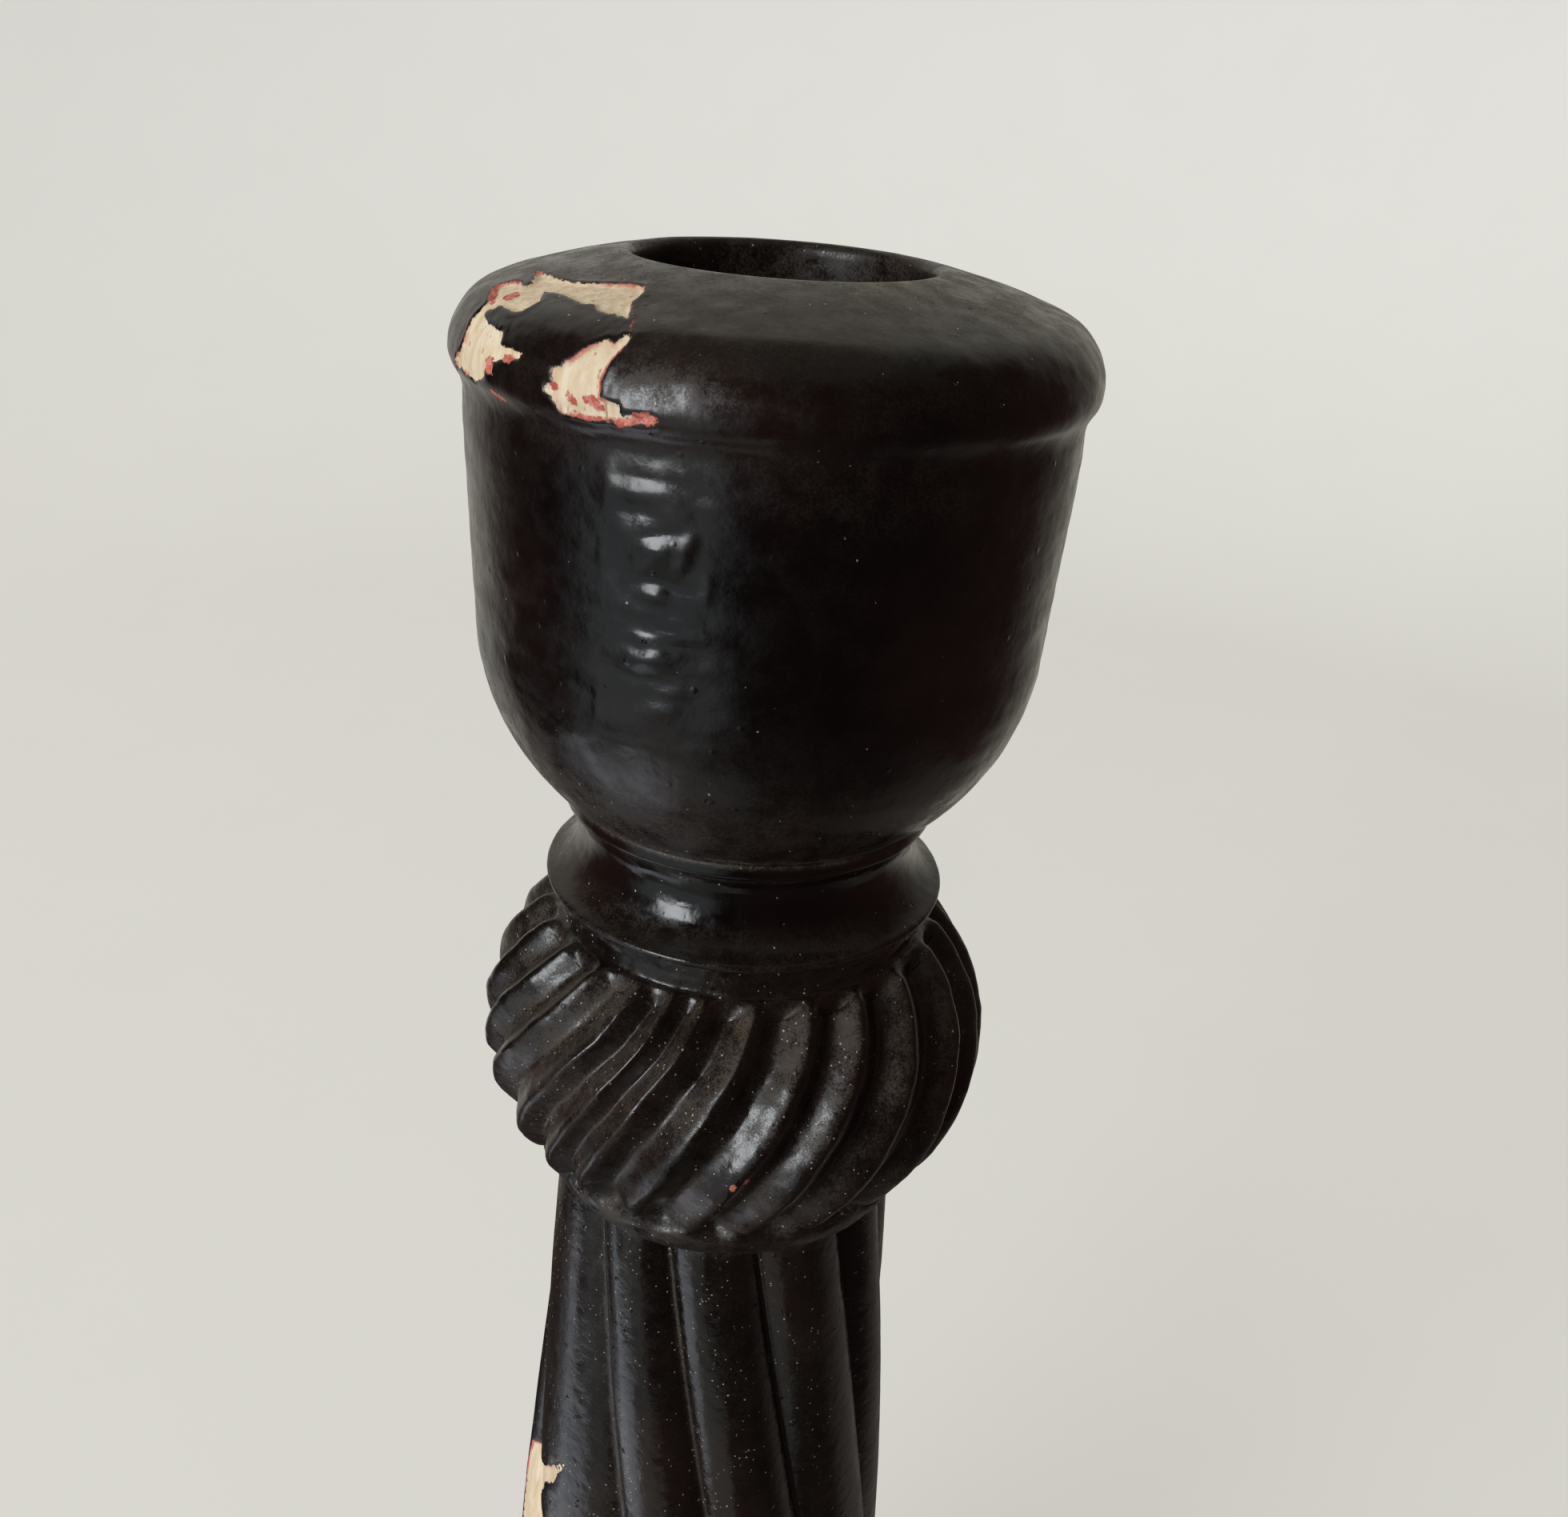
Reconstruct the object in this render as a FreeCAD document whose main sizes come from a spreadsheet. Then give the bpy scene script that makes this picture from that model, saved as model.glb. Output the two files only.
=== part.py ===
"""A turned and carved wooden candlestick: cup, collar, reeded knop, twisted column and foot.

Millimetres, +Z up, origin at the middle of the underside. Every height is counted from the table.
"""

import FreeCAD, Part

import math
import os

import Sketcher

Vector = FreeCAD.Vector
UP = Vector(0, 0, 1)
OVERLAP = 0.2  # how far the fused solids of one piece run into each other
REED_POINTS = 4  # points that shape each reed in a section
REED_FADE = 0.3  # how late the valleys run out toward both ends of the ball
REED_FULLNESS = 3  # how broad the top of a reed stays before it falls into the valley
BALL_SECTIONS = 14
COLUMN_SECTIONS = 12

doc = FreeCAD.newDocument("candlestick")

# ---------------------------------------------------------------- driving dimensions

DIMENSIONS = {
    # main heights
    "overall_height": 260.0,
    "felt_thickness": 1.5,
    "foot_height": 42.0,
    "knop_bottom": 176.7,
    "knop_top": 206.8,
    "cup_bottom": 216.2,
    # candle socket
    "socket_radius": 11.5,
    "socket_depth": 24.0,
    "mouth_round": 0.8,
    # cup: crown, rolled rim, quirk, wall and bowl, as drops below the mouth
    "crown_radius": 21.5,
    "crown_drop": 2.4,
    "crown_curve": 60.0,
    "rim_radius": 25.2,
    "rim_drop": 7.0,
    "rim_curve": 4.71,
    "rim_under_radius": 24.5,
    "rim_under_drop": 9.0,
    "rim_under_curve": 2.4,
    "quirk_radius": 23.9,
    "quirk_drop": 9.9,
    "wall_radius": 24.25,
    "wall_drop": 11.6,
    "bowl_radius": 23.5,
    "bowl_drop": 28.0,
    "bowl_curve": 20.3,
    "seat_radius": 16.1,
    # collar: seat bead, scotia and lip, as drops below the cup's bottom
    "seat_bead": 1.4,
    "scotia_radius": 15.3,
    "scotia_drop": 1.9,
    "scotia_curve": 4.6,
    "lip_radius": 17.75,
    "lip_drop": 8.4,
    "lip_edge": 0.6,
    # knop: neck band, reeded ball and bottom ring
    "band_radius": 16.3,
    "band_height": 3.3,
    "ball_radius": 23.4,
    "ball_middle": 191.7,
    "ball_half_height": 18.4,
    "reed_count": 25,
    "reed_depth": 1.3,
    "reed_twist": 30.5,
    "reed_phase": -3.1,
    "ring_radius": 18.4,
    "ring_height": 4.1,
    "ring_curve": 6.0,
    "ring_foot": 16.7,
    # column
    "column_top_radius": 16.15,
    "column_flare": 0.075,
    "lobe_count": 12,
    "lobe_depth": 1.5,
    "lobe_twist": 0.62,
    "lobe_phase": 10.5,
    "tenon_radius": 9.0,
    "tenon_length": 14.0,
    # foot
    "foot_radius": 46.0,
    "foot_edge": 2.0,
    "plinth_height": 12.0,
    "plinth_curve": 5.5,
    "step_radius": 42.5,
    "step_height": 14.0,
    "ogee_middle": 35.0,
    "ogee_middle_height": 20.0,
    "ogee_low_curve": 11.0,
    "ogee_high_curve": 14.0,
    "neck_radius": 29.4,
    "neck_height": 32.5,
    "foot_ring_base": 33.5,
    "foot_ring_edge": 28.2,
    "foot_ring_curve": 4.6,
    # dowels
    "upper_dowel_radius": 5.0,
    "lower_dowel_radius": 6.0,
    "cup_bore": 13.0,
    "knop_top_bore": 16.0,
    "knop_bottom_bore": 11.0,
    "column_bore": 20.0,
    "dowel_end_gap": 1.0,
    "dowel_chamfer": 1.0,
    "flute_radius": 0.5,
    "flute_count": 14,
    "glue_line": 0.05,
    # screw, washer and felt
    "counterbore_radius": 7.0,
    "counterbore_depth": 9.0,
    "screw_clearance": 2.4,
    "screw_shank": 2.25,
    "screw_root": 1.7,
    "screw_length": 50.0,
    "screw_thread": 28.0,
    "thread_pitch": 2.0,
    "screw_point": 4.0,
    "pilot_radius": 1.9,
    "head_radius": 4.6,
    "head_height": 3.2,
    "recess_width": 1.2,
    "recess_length": 5.0,
    "recess_depth": 2.0,
    "washer_radius": 6.2,
    "washer_bore": 2.6,
    "washer_thickness": 1.0,
    "felt_radius": 42.5,
}

sheet = doc.addObject("Spreadsheet::Sheet", "dims")
for row, (alias, size) in enumerate(DIMENSIONS.items(), start=1):
    sheet.set(f"A{row}", alias)
    sheet.set(f"B{row}", str(size))
    sheet.setAlias(f"B{row}", alias)
doc.recompute()


def value(text):
    """The number that a sum of cells comes to, such as "cup_bottom + cup_bore"."""
    total = 0.0
    sign = 1.0
    for word in text.split():
        if word in ("+", "-"):
            sign = 1.0 if word == "+" else -1.0
        else:
            total += sign * (getattr(sheet, word) if word in DIMENSIONS else float(word))
    return total


def bound(text):
    """The same sum as an expression that follows the sheet."""
    return " ".join(f"dims.{word}" if word in DIMENSIONS else word for word in text.split())


# ---------------------------------------------------------------- builders


def origin_plane(body, role):
    return next(feature for feature in body.Origin.OriginFeatures if feature.Role == role)


def new_sketch(body, name, role):
    sketch = body.newObject("Sketcher::SketchObject", name)
    sketch.AttachmentSupport = (origin_plane(body, role), [""])
    sketch.MapMode = "FlatFace"
    return sketch


def arc_through(start, end, curve):
    """An arc of radius |curve|, bulging to the right of its way from start to end when positive."""
    chord = end - start
    half = chord.Length / 2
    sagitta = abs(curve) - math.sqrt(curve * curve - half * half)
    side = Vector(chord.y, -chord.x, 0).normalize()
    middle = (start + end) / 2 + side * math.copysign(sagitta, curve)
    return Part.ArcOfCircle(start, middle, end)


def draw_outline(sketch, corners):
    """Closes an outline through corners, each (radius, height) or (radius, height, curve, sign):
    curve is the radius of the arc that arrives at that corner."""
    points = [Vector(value(corner[0]), value(corner[1]), 0) for corner in corners]
    ends = []
    for number, corner in enumerate(corners):
        start, end = points[number - 1], points[number]
        if len(corner) == 4:
            shape = arc_through(start, end, corner[3] * value(corner[2]))
        else:
            shape = Part.LineSegment(start, end)
        index = sketch.addGeometry(shape, False)
        first_is_start = sketch.getPoint(index, 1).distanceToPoint(start) < 1e-6
        ends.append((index, 1, 2) if first_is_start else (index, 2, 1))
        if len(corner) == 4:
            add_length(sketch, "Radius", (index,), corner[2], f"curve_{number}")
    for number, corner in enumerate(corners):
        index, _, last = ends[number]
        following, first, _ = ends[(number + 1) % len(corners)]
        sketch.addConstraint(Sketcher.Constraint("Coincident", index, last, following, first))
        if corner[0] == "0":
            sketch.addConstraint(Sketcher.Constraint("PointOnObject", index, last, -2))
        else:
            add_length(sketch, "DistanceX", (index, last), corner[0], f"radius_{number}")
        if corner[1] == "0":
            sketch.addConstraint(Sketcher.Constraint("PointOnObject", index, last, -1))
        else:
            add_length(sketch, "DistanceY", (index, last), corner[1], f"height_{number}")


def add_length(sketch, kind, where, text, name):
    index = sketch.addConstraint(Sketcher.Constraint(kind, *where, value(text)))
    sketch.renameConstraint(index, name)
    sketch.setExpression(f"Constraints.{name}", bound(text))


def add_circle(sketch, radius, name, reach=None):
    """A circle on the origin, or on the second axis at that reach from the origin."""
    place = Vector(0, value(reach), 0) if reach else Vector()
    index = sketch.addGeometry(Part.Circle(place, UP, value(radius)), False)
    add_length(sketch, "Radius", (index,), radius, f"{name}_size")
    if reach is None:
        sketch.addConstraint(Sketcher.Constraint("Coincident", index, 3, -1, 1))
        return
    sketch.addConstraint(Sketcher.Constraint("PointOnObject", index, 3, -2))
    add_length(sketch, "DistanceY", (index, 3), reach, f"{name}_reach")


def turned(label, corners):
    """A piece turned on the lathe: one outline, spun about the upright axis."""
    body = doc.addObject("PartDesign::Body", label)
    sketch = new_sketch(body, f"{label}_outline", "XZ_Plane")
    draw_outline(sketch, corners)
    spin = body.newObject("PartDesign::Revolution", f"{label}_spin")
    spin.Profile = sketch
    spin.ReferenceAxis = (sketch, ["V_Axis"])
    spin.Angle = 360
    sketch.Visibility = False
    doc.recompute()
    return body


def lifted(piece, text):
    """Stands a piece at a height of the sheet."""
    piece.setExpression("Placement.Base.z", bound(text))
    return piece


def cylinder(name, radius, height, base):
    rod = doc.addObject("Part::Cylinder", name)
    rod.setExpression("Radius", bound(radius))
    rod.setExpression("Height", bound(height))
    return lifted(rod, base)


def drilled(label, solids, drills):
    """One piece from fused solids, with its bores cut out."""
    blank = doc.addObject("Part::MultiFuse", f"{label}_blank")
    blank.Shapes = solids
    tools = doc.addObject("Part::MultiFuse", f"{label}_drills")
    tools.Shapes = drills
    piece = doc.addObject("Part::Cut", f"{label}_drilled")
    piece.Base = blank
    piece.Tool = tools
    return piece


def around(radius_at, turn, height, count):
    """A closed wire at one height: radius_at(angle) sampled count times, turned by turn."""
    points = []
    for number in range(count):
        angle = 2 * math.pi * number / count
        radius = radius_at(angle)
        points.append(Vector(radius * math.cos(angle + turn), radius * math.sin(angle + turn), height))
    return points


# ---------------------------------------------------------------- cup and collar


def make_candle_cup():
    """Bowl with a rolled rim: the socket is bored in its top and the dowel hole in its bottom."""
    bore = "upper_dowel_radius + glue_line"
    mouth = "overall_height"
    return turned("candle_cup", [
        (bore, "cup_bottom"),
        ("seat_radius", "cup_bottom"),
        ("bowl_radius", f"{mouth} - bowl_drop", "bowl_curve", 1),
        ("wall_radius", f"{mouth} - wall_drop"),
        ("quirk_radius", f"{mouth} - quirk_drop"),
        ("rim_under_radius", f"{mouth} - rim_under_drop"),
        ("rim_radius", f"{mouth} - rim_drop", "rim_under_curve", 1),
        ("crown_radius", f"{mouth} - crown_drop", "rim_curve", 1),
        ("socket_radius + mouth_round", mouth, "crown_curve", 1),
        ("socket_radius", f"{mouth} - mouth_round", "mouth_round", 1),
        ("socket_radius", f"{mouth} - socket_depth"),
        ("0", f"{mouth} - socket_depth"),
        ("0", "cup_bottom + cup_bore"),
        (bore, "cup_bottom + cup_bore"),
    ])


def make_neck_collar():
    """A seat bead under the cup, a hollow scotia and a thin lip that overhangs the knop."""
    bore = "upper_dowel_radius + glue_line"
    top = "cup_bottom"
    return turned("neck_collar", [
        (bore, "knop_top"),
        ("band_radius", "knop_top"),
        ("lip_radius", f"{top} - lip_drop - lip_edge"),
        ("lip_radius", f"{top} - lip_drop"),
        ("scotia_radius", f"{top} - scotia_drop", "scotia_curve", -1),
        ("seat_radius", f"{top} - seat_bead"),
        ("seat_radius", top),
        (bore, top),
    ])


# ---------------------------------------------------------------- knop


def make_gadrooned_knop():
    """An oblate ball carved with slanting reeds, between a plain neck band and a bottom ring."""
    core = turned("knop_core", [
        ("0", "knop_bottom"),
        ("ring_foot", "knop_bottom"),
        ("ring_radius", "knop_bottom + ring_height", "ring_curve", 1),
        ("band_radius", "knop_top - band_height"),
        ("band_radius", "knop_top"),
        ("0", "knop_top"),
    ])
    reeds = doc.addObject("Part::Feature", "reeded_ball")
    reeds.Shape = reeded_ball()
    bores = [
        cylinder("knop_top_drill", "upper_dowel_radius + glue_line", "knop_top_bore + 1",
                 "knop_top - knop_top_bore"),
        cylinder("knop_bottom_drill", "lower_dowel_radius + glue_line", "knop_bottom_bore + 1",
                 "knop_bottom - 1"),
    ]
    return drilled("knop", [core, reeds], bores)


def reeded_ball():
    """Stacked sections of the ball, each with its reeds, turned a little more than the last."""
    top = value("knop_top - band_height") + OVERLAP
    bottom = value("knop_bottom + ring_height") - OVERLAP
    middle = value("ball_middle")
    count = int(value("reed_count"))
    ball = value("ball_radius")
    wires = []
    for number in range(BALL_SECTIONS + 1):
        # closer sections near both ends, where the ball turns fastest
        share = (1 - math.cos(math.pi * number / BALL_SECTIONS)) / 2
        height = bottom + (top - bottom) * share
        crest = ball * math.sqrt(1 - ((height - middle) / value("ball_half_height")) ** 2)
        depth = value("reed_depth") * math.sin(math.pi * share) ** REED_FADE
        if number in (0, BALL_SECTIONS):
            crest = value("band_radius" if number else "ring_radius") - OVERLAP
            depth = 0.0
        twist = value("reed_phase") + value("reed_twist") * (height - middle) / (top - bottom)

        def reed(angle):
            across = abs((angle * count / (2 * math.pi) + 0.5) % 1 - 0.5) * 2
            return crest - depth * across ** REED_FULLNESS

        outline = around(reed, math.radians(twist), height, count * REED_POINTS)
        curve = Part.BSplineCurve()
        curve.interpolate(Points=outline, PeriodicFlag=True)
        wires.append(Part.Wire(curve.toShape()))
    return Part.makeLoft(wires, True, True)


# ---------------------------------------------------------------- column


def make_twisted_column():
    """A flaring bundle of round lobes, twisted the other way, with a tenon turned on its foot."""
    lobes = doc.addObject("Part::Feature", "column_lobes")
    lobes.Shape = lobed_shaft()
    tenon = cylinder("column_tenon", "tenon_radius", "tenon_length + 1", "foot_height - tenon_length")
    bores = [
        cylinder("column_drill", "lower_dowel_radius + glue_line", "column_bore + 1",
                 "knop_bottom - column_bore"),
        cylinder("column_pilot", "pilot_radius", "tenon_length + screw_length",
                 "foot_height - tenon_length - 1"),
    ]
    return drilled("column", [lobes, tenon], bores)


def lobed_shaft():
    """Twisted sections of outward arcs that meet in sharp grooves."""
    bottom = value("foot_height")
    top = value("knop_bottom")
    count = int(value("lobe_count"))
    wires = []
    for number in range(COLUMN_SECTIONS + 1):
        height = bottom + (top - bottom) * number / COLUMN_SECTIONS
        crest = value("column_top_radius") + value("column_flare") * (top - height)
        turn = math.radians(value("lobe_phase") + value("lobe_twist") * (top - height))
        depth = value("lobe_depth") * crest / value("column_top_radius")

        def lobe(angle):
            at_crest = round(angle * count / math.pi) % 2
            return crest if at_crest else crest - depth

        ring = around(lobe, turn, height, 2 * count)
        arcs = []
        for groove in range(0, 2 * count, 2):
            start, crown, end = ring[groove], ring[groove + 1], ring[(groove + 2) % len(ring)]
            arcs.append(Part.Arc(start, crown, end).toShape())
        wires.append(Part.Wire(arcs))
    return Part.makeLoft(wires, True, False)


# ---------------------------------------------------------------- foot


def make_turned_foot():
    """Round foot: plinth roll, step, ogee and a ring that takes the column, drilled for the screw."""
    top = "foot_height"
    bottom = "felt_thickness"
    return turned("turned_foot", [
        ("counterbore_radius", bottom),
        ("foot_radius - foot_edge", bottom),
        ("foot_radius", f"{bottom} + foot_edge", "foot_edge", 1),
        ("foot_radius", "plinth_height - plinth_curve"),
        ("foot_radius - plinth_curve", "plinth_height", "plinth_curve", 1),
        ("step_radius", "step_height"),
        ("ogee_middle", "ogee_middle_height", "ogee_high_curve", 1),
        ("neck_radius", "neck_height", "ogee_low_curve", -1),
        ("foot_ring_edge", "foot_ring_base"),
        ("foot_ring_edge", top, "foot_ring_curve", 1),
        ("tenon_radius + glue_line", top),
        ("tenon_radius + glue_line", f"{top} - tenon_length - dowel_end_gap"),
        ("screw_clearance", f"{top} - tenon_length - dowel_end_gap"),
        ("screw_clearance", f"{bottom} + counterbore_depth"),
        ("counterbore_radius", f"{bottom} + counterbore_depth"),
    ])


# ---------------------------------------------------------------- dowels


def make_dowel(label, radius, length, base):
    """A fluted beech dowel: straight glue flutes down its side and both ends chamfered."""
    body = doc.addObject("PartDesign::Body", label)
    section = new_sketch(body, f"{label}_section", "XY_Plane")
    add_circle(section, radius, "rod")
    rod = body.newObject("PartDesign::Pad", f"{label}_rod")
    rod.Profile = section
    rod.setExpression("Length", bound(length))
    doc.recompute()
    ends = [f"Edge{n}" for n, edge in enumerate(rod.Shape.Edges, 1) if edge.Closed]
    chamfer = body.newObject("PartDesign::Chamfer", f"{label}_ends")
    chamfer.Base = (rod, ends)
    chamfer.setExpression("Size", "dims.dowel_chamfer")
    doc.recompute()
    flute_section = new_sketch(body, f"{label}_flute_section", "XY_Plane")
    add_circle(flute_section, "flute_radius", "flute", radius)
    flute = body.newObject("PartDesign::Pocket", f"{label}_flute")
    flute.Profile = flute_section
    flute.Type = "ThroughAll"
    flute.Reversed = True
    doc.recompute()
    flutes = body.newObject("PartDesign::PolarPattern", f"{label}_flutes")
    flutes.Originals = [flute]
    flutes.Axis = (flute_section, ["N_Axis"])
    flutes.Angle = 360
    flutes.setExpression("Occurrences", "dims.flute_count")
    body.Tip = flutes
    return lifted(body, base)


# ---------------------------------------------------------------- screw, washer and felt


def make_base_screw():
    """Round-head wood screw, driven up through the foot: thread ridges, gimlet point, cross recess."""
    seat = value("felt_thickness + counterbore_depth - washer_thickness")
    shank, root = value("screw_shank"), value("screw_root")
    length, thread = value("screw_length"), value("screw_thread")
    pitch = value("thread_pitch")
    tip = value("screw_point")
    head, rise = value("head_radius"), value("head_height")
    points = [Vector(0, 0, seat - rise), Vector(head * 0.7, 0, seat - rise)]
    points += [Vector(head, 0, seat - rise * 0.45), Vector(head, 0, seat), Vector(shank, 0, seat)]
    start = seat + length - tip - thread
    points.append(Vector(shank, 0, start - pitch / 2))
    for turn in range(int(thread / pitch)):
        low = start + turn * pitch
        points += [Vector(root, 0, low), Vector(root, 0, low + pitch * 0.4)]
        points.append(Vector(shank + 0.25, 0, low + pitch * 0.7))
    points += [Vector(root, 0, start + thread), Vector(0, 0, seat + length), points[0]]
    profile = Part.Face(Part.makePolygon(points))
    blank = profile.revolve(Vector(), UP, 360)
    recess = Part.Compound([cross_arm(seat - rise, turn) for turn in (0, 90)])
    screw = doc.addObject("Part::Feature", "base_screw")
    screw.Shape = blank.cut(recess)
    return screw


def cross_arm(face_height, turn):
    """One arm of the cross recess, standing a little proud of the head's face."""
    width, reach, depth = value("recess_width"), value("recess_length"), value("recess_depth")
    arm = Part.makeBox(reach, width, depth + 1, Vector(-reach / 2, -width / 2, face_height - 1))
    arm.rotate(Vector(), UP, turn)
    return arm


def make_disc(label, radius, thickness, base, bore=None):
    """A flat disc or washer, padded from its circles."""
    body = doc.addObject("PartDesign::Body", label)
    section = new_sketch(body, f"{label}_section", "XY_Plane")
    add_circle(section, radius, "rim")
    if bore:
        add_circle(section, bore, "bore")
    pad = body.newObject("PartDesign::Pad", f"{label}_pad")
    pad.Profile = section
    pad.setExpression("Length", bound(thickness))
    return lifted(body, base)


# ---------------------------------------------------------------- assembly

pieces = {
    "candle_cup": make_candle_cup(),
    "neck_collar": make_neck_collar(),
    "gadrooned_knop": make_gadrooned_knop(),
    "twisted_column": make_twisted_column(),
    "turned_foot": make_turned_foot(),
    "upper_dowel": make_dowel(
        "upper_dowel", "upper_dowel_radius",
        "cup_bottom - knop_top + cup_bore + knop_top_bore - dowel_end_gap - dowel_end_gap",
        "knop_top - knop_top_bore + dowel_end_gap"),
    "lower_dowel": make_dowel(
        "lower_dowel", "lower_dowel_radius",
        "knop_bottom_bore + column_bore - dowel_end_gap - dowel_end_gap",
        "knop_bottom - column_bore + dowel_end_gap"),
    "base_screw": make_base_screw(),
    "screw_washer": make_disc(
        "screw_washer", "washer_radius", "washer_thickness",
        "felt_thickness + counterbore_depth - washer_thickness", "washer_bore"),
    "felt_pad": make_disc("felt_pad", "felt_radius", "felt_thickness", "0"),
}
doc.recompute()

# ---------------------------------------------------------------- checks and export

failed = [item.Name for item in doc.Objects if {"Invalid", "Error"} & set(item.State)]
if failed:
    raise SystemExit(f"failed objects: {failed}")

os.makedirs("parts", exist_ok=True)
for node, piece in pieces.items():
    piece.Label = node
    shape = piece.Shape
    if shape.isNull() or not shape.isValid() or len(shape.Solids) != 1:
        raise SystemExit(f"{node} is not one valid solid")
    shape.exportStep(f"parts/{node}.step")
    low, high = shape.BoundBox.ZMin, shape.BoundBox.ZMax
    print(f"{node}: {shape.Volume / 1000:.1f} cm3, {low:.2f} to {high:.2f} mm")
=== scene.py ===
"""Looks for a turned and carved wooden candlestick: worn black paint over primer and bare wood.

Lengths are millimetres until a mesh is written, and angles are degrees round the axis, 0 at the front (-Y)
and growing towards +X. A drop is a distance below the cup's mouth.
"""

import math

import bpy
import numpy as np
from mathutils import Matrix, Vector

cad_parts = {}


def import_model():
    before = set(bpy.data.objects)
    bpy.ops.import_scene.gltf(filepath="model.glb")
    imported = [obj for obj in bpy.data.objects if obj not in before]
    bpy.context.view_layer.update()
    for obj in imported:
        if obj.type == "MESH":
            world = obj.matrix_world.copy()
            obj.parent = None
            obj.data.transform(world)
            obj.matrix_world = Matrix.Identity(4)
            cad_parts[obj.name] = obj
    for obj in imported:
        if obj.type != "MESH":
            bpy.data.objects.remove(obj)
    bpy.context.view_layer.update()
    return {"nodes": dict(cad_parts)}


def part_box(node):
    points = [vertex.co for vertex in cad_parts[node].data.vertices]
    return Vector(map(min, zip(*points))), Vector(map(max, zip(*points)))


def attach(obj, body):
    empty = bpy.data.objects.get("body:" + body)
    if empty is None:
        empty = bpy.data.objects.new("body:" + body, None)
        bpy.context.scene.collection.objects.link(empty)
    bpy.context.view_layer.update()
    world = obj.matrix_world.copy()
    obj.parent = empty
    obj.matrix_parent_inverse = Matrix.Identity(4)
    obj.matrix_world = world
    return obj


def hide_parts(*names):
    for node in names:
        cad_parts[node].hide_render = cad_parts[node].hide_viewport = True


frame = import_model()

MM = 0.001
DENSE = 0.05  # spacing of an outline before its rings are chosen
FAR = 9.0  # distance given to points that are nowhere near a flake or a primer spot


def heights(node):
    low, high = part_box(node)
    return low.z / MM, high.z / MM


CUP_BOTTOM, MOUTH = heights("candle_cup")
KNOP_BOTTOM, KNOP_TOP = heights("gadrooned_knop")
TENON_BOTTOM = heights("twisted_column")[0]
FOOT_BOTTOM, FOOT_TOP = heights("turned_foot")
FELT_TOP = heights("felt_pad")[1]

# ---------------------------------------------------------------- noise

WORD = 0xFFFFFFFF  # the hash works in 32 bits
AXIS_FACTORS = (73856093, 19349663, 83492791)
SEED_FACTOR = 2654435761
MIXING = ((15, 2246822519), (13, 3266489917))  # shifts and factors that scatter the bits
LAST_SHIFT = 16
LAYER_SCALE = 2.03  # how much finer each layer of noise is than the one before


def hashed(cell, seed):
    """A repeatable number from -1 to 1 for each whole-numbered point."""
    x, y, z = (cell[..., axis] * factor for axis, factor in enumerate(AXIS_FACTORS))
    mixed = (x ^ y ^ z ^ (seed * SEED_FACTOR)) & WORD
    for shift, factor in MIXING:
        mixed = ((mixed ^ (mixed >> shift)) * factor) & WORD
    return (mixed ^ (mixed >> LAST_SHIFT)) / (WORD / 2) - 1


def noise(points, seed):
    """Smooth noise from -1 to 1, one cell to a unit."""
    cell = np.floor(points).astype(np.int64)
    part = points - cell
    part = part * part * (3 - 2 * part)
    total = np.zeros(points.shape[:-1])
    for corner in np.ndindex(2, 2, 2):
        weight = np.prod(np.where(np.array(corner) == 1, part, 1 - part), axis=-1)
        total += weight * hashed(cell + np.array(corner), seed)
    return total


def fractal(place, size, seed, layers=3):
    """Layered noise with features about size millimetres across, given once or for x, y and z."""
    points = place / np.array(size)
    total = np.zeros(points.shape[:-1])
    for layer in range(layers):
        total += noise(points * LAYER_SCALE ** layer, seed + layer) * 0.5 ** layer
    return total


def smooth(low, high, values):
    """0 below low, 1 above high, and an easy curve between."""
    share = np.clip((values - low) / (high - low), 0, 1)
    return share * share * (3 - 2 * share)


def bell(values, middle, width):
    return np.exp(-((values - middle) / width) ** 2)


# ---------------------------------------------------------------- turned surfaces


def run(start, end, curve):
    """Points from start up to end, straight or on an arc of radius |curve|.
    The arc bulges out of the wood when curve is positive."""
    start, end = np.array(start, float), np.array(end, float)
    chord = end - start
    length = np.hypot(*chord)
    count = max(2, int(length / DENSE))
    share = np.arange(count) / count
    if not curve:
        return start + share[:, None] * chord
    out = np.array([-chord[1], chord[0]]) / length
    reach = math.sqrt(curve * curve - length * length / 4)
    centre = (start + end) / 2 - out * math.copysign(reach, curve)
    half = math.asin(length / 2 / abs(curve))
    first = math.atan2(*(start - centre)[::-1])
    turn = first - math.copysign(2 * half, curve) * share
    return centre + abs(curve) * np.stack([np.cos(turn), np.sin(turn)], axis=1)


def eased(line, width, closed):
    """The line with its corners worn round over about that width."""
    reach = int(3 * width / DENSE)
    kernel = bell(np.arange(-reach, reach + 1) * DENSE, 0, width * math.sqrt(2))
    kernel /= kernel.sum()
    if closed:
        padded = np.concatenate([line[-reach:], line, line[:reach]])
    else:
        before = 2 * line[0] - line[reach:0:-1]
        after = 2 * line[-1] - line[-2:-reach - 2:-1]
        padded = np.concatenate([before, line, after])
    return np.stack([np.convolve(padded[:, axis], kernel, "valid") for axis in (0, 1)], axis=1)


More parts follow.
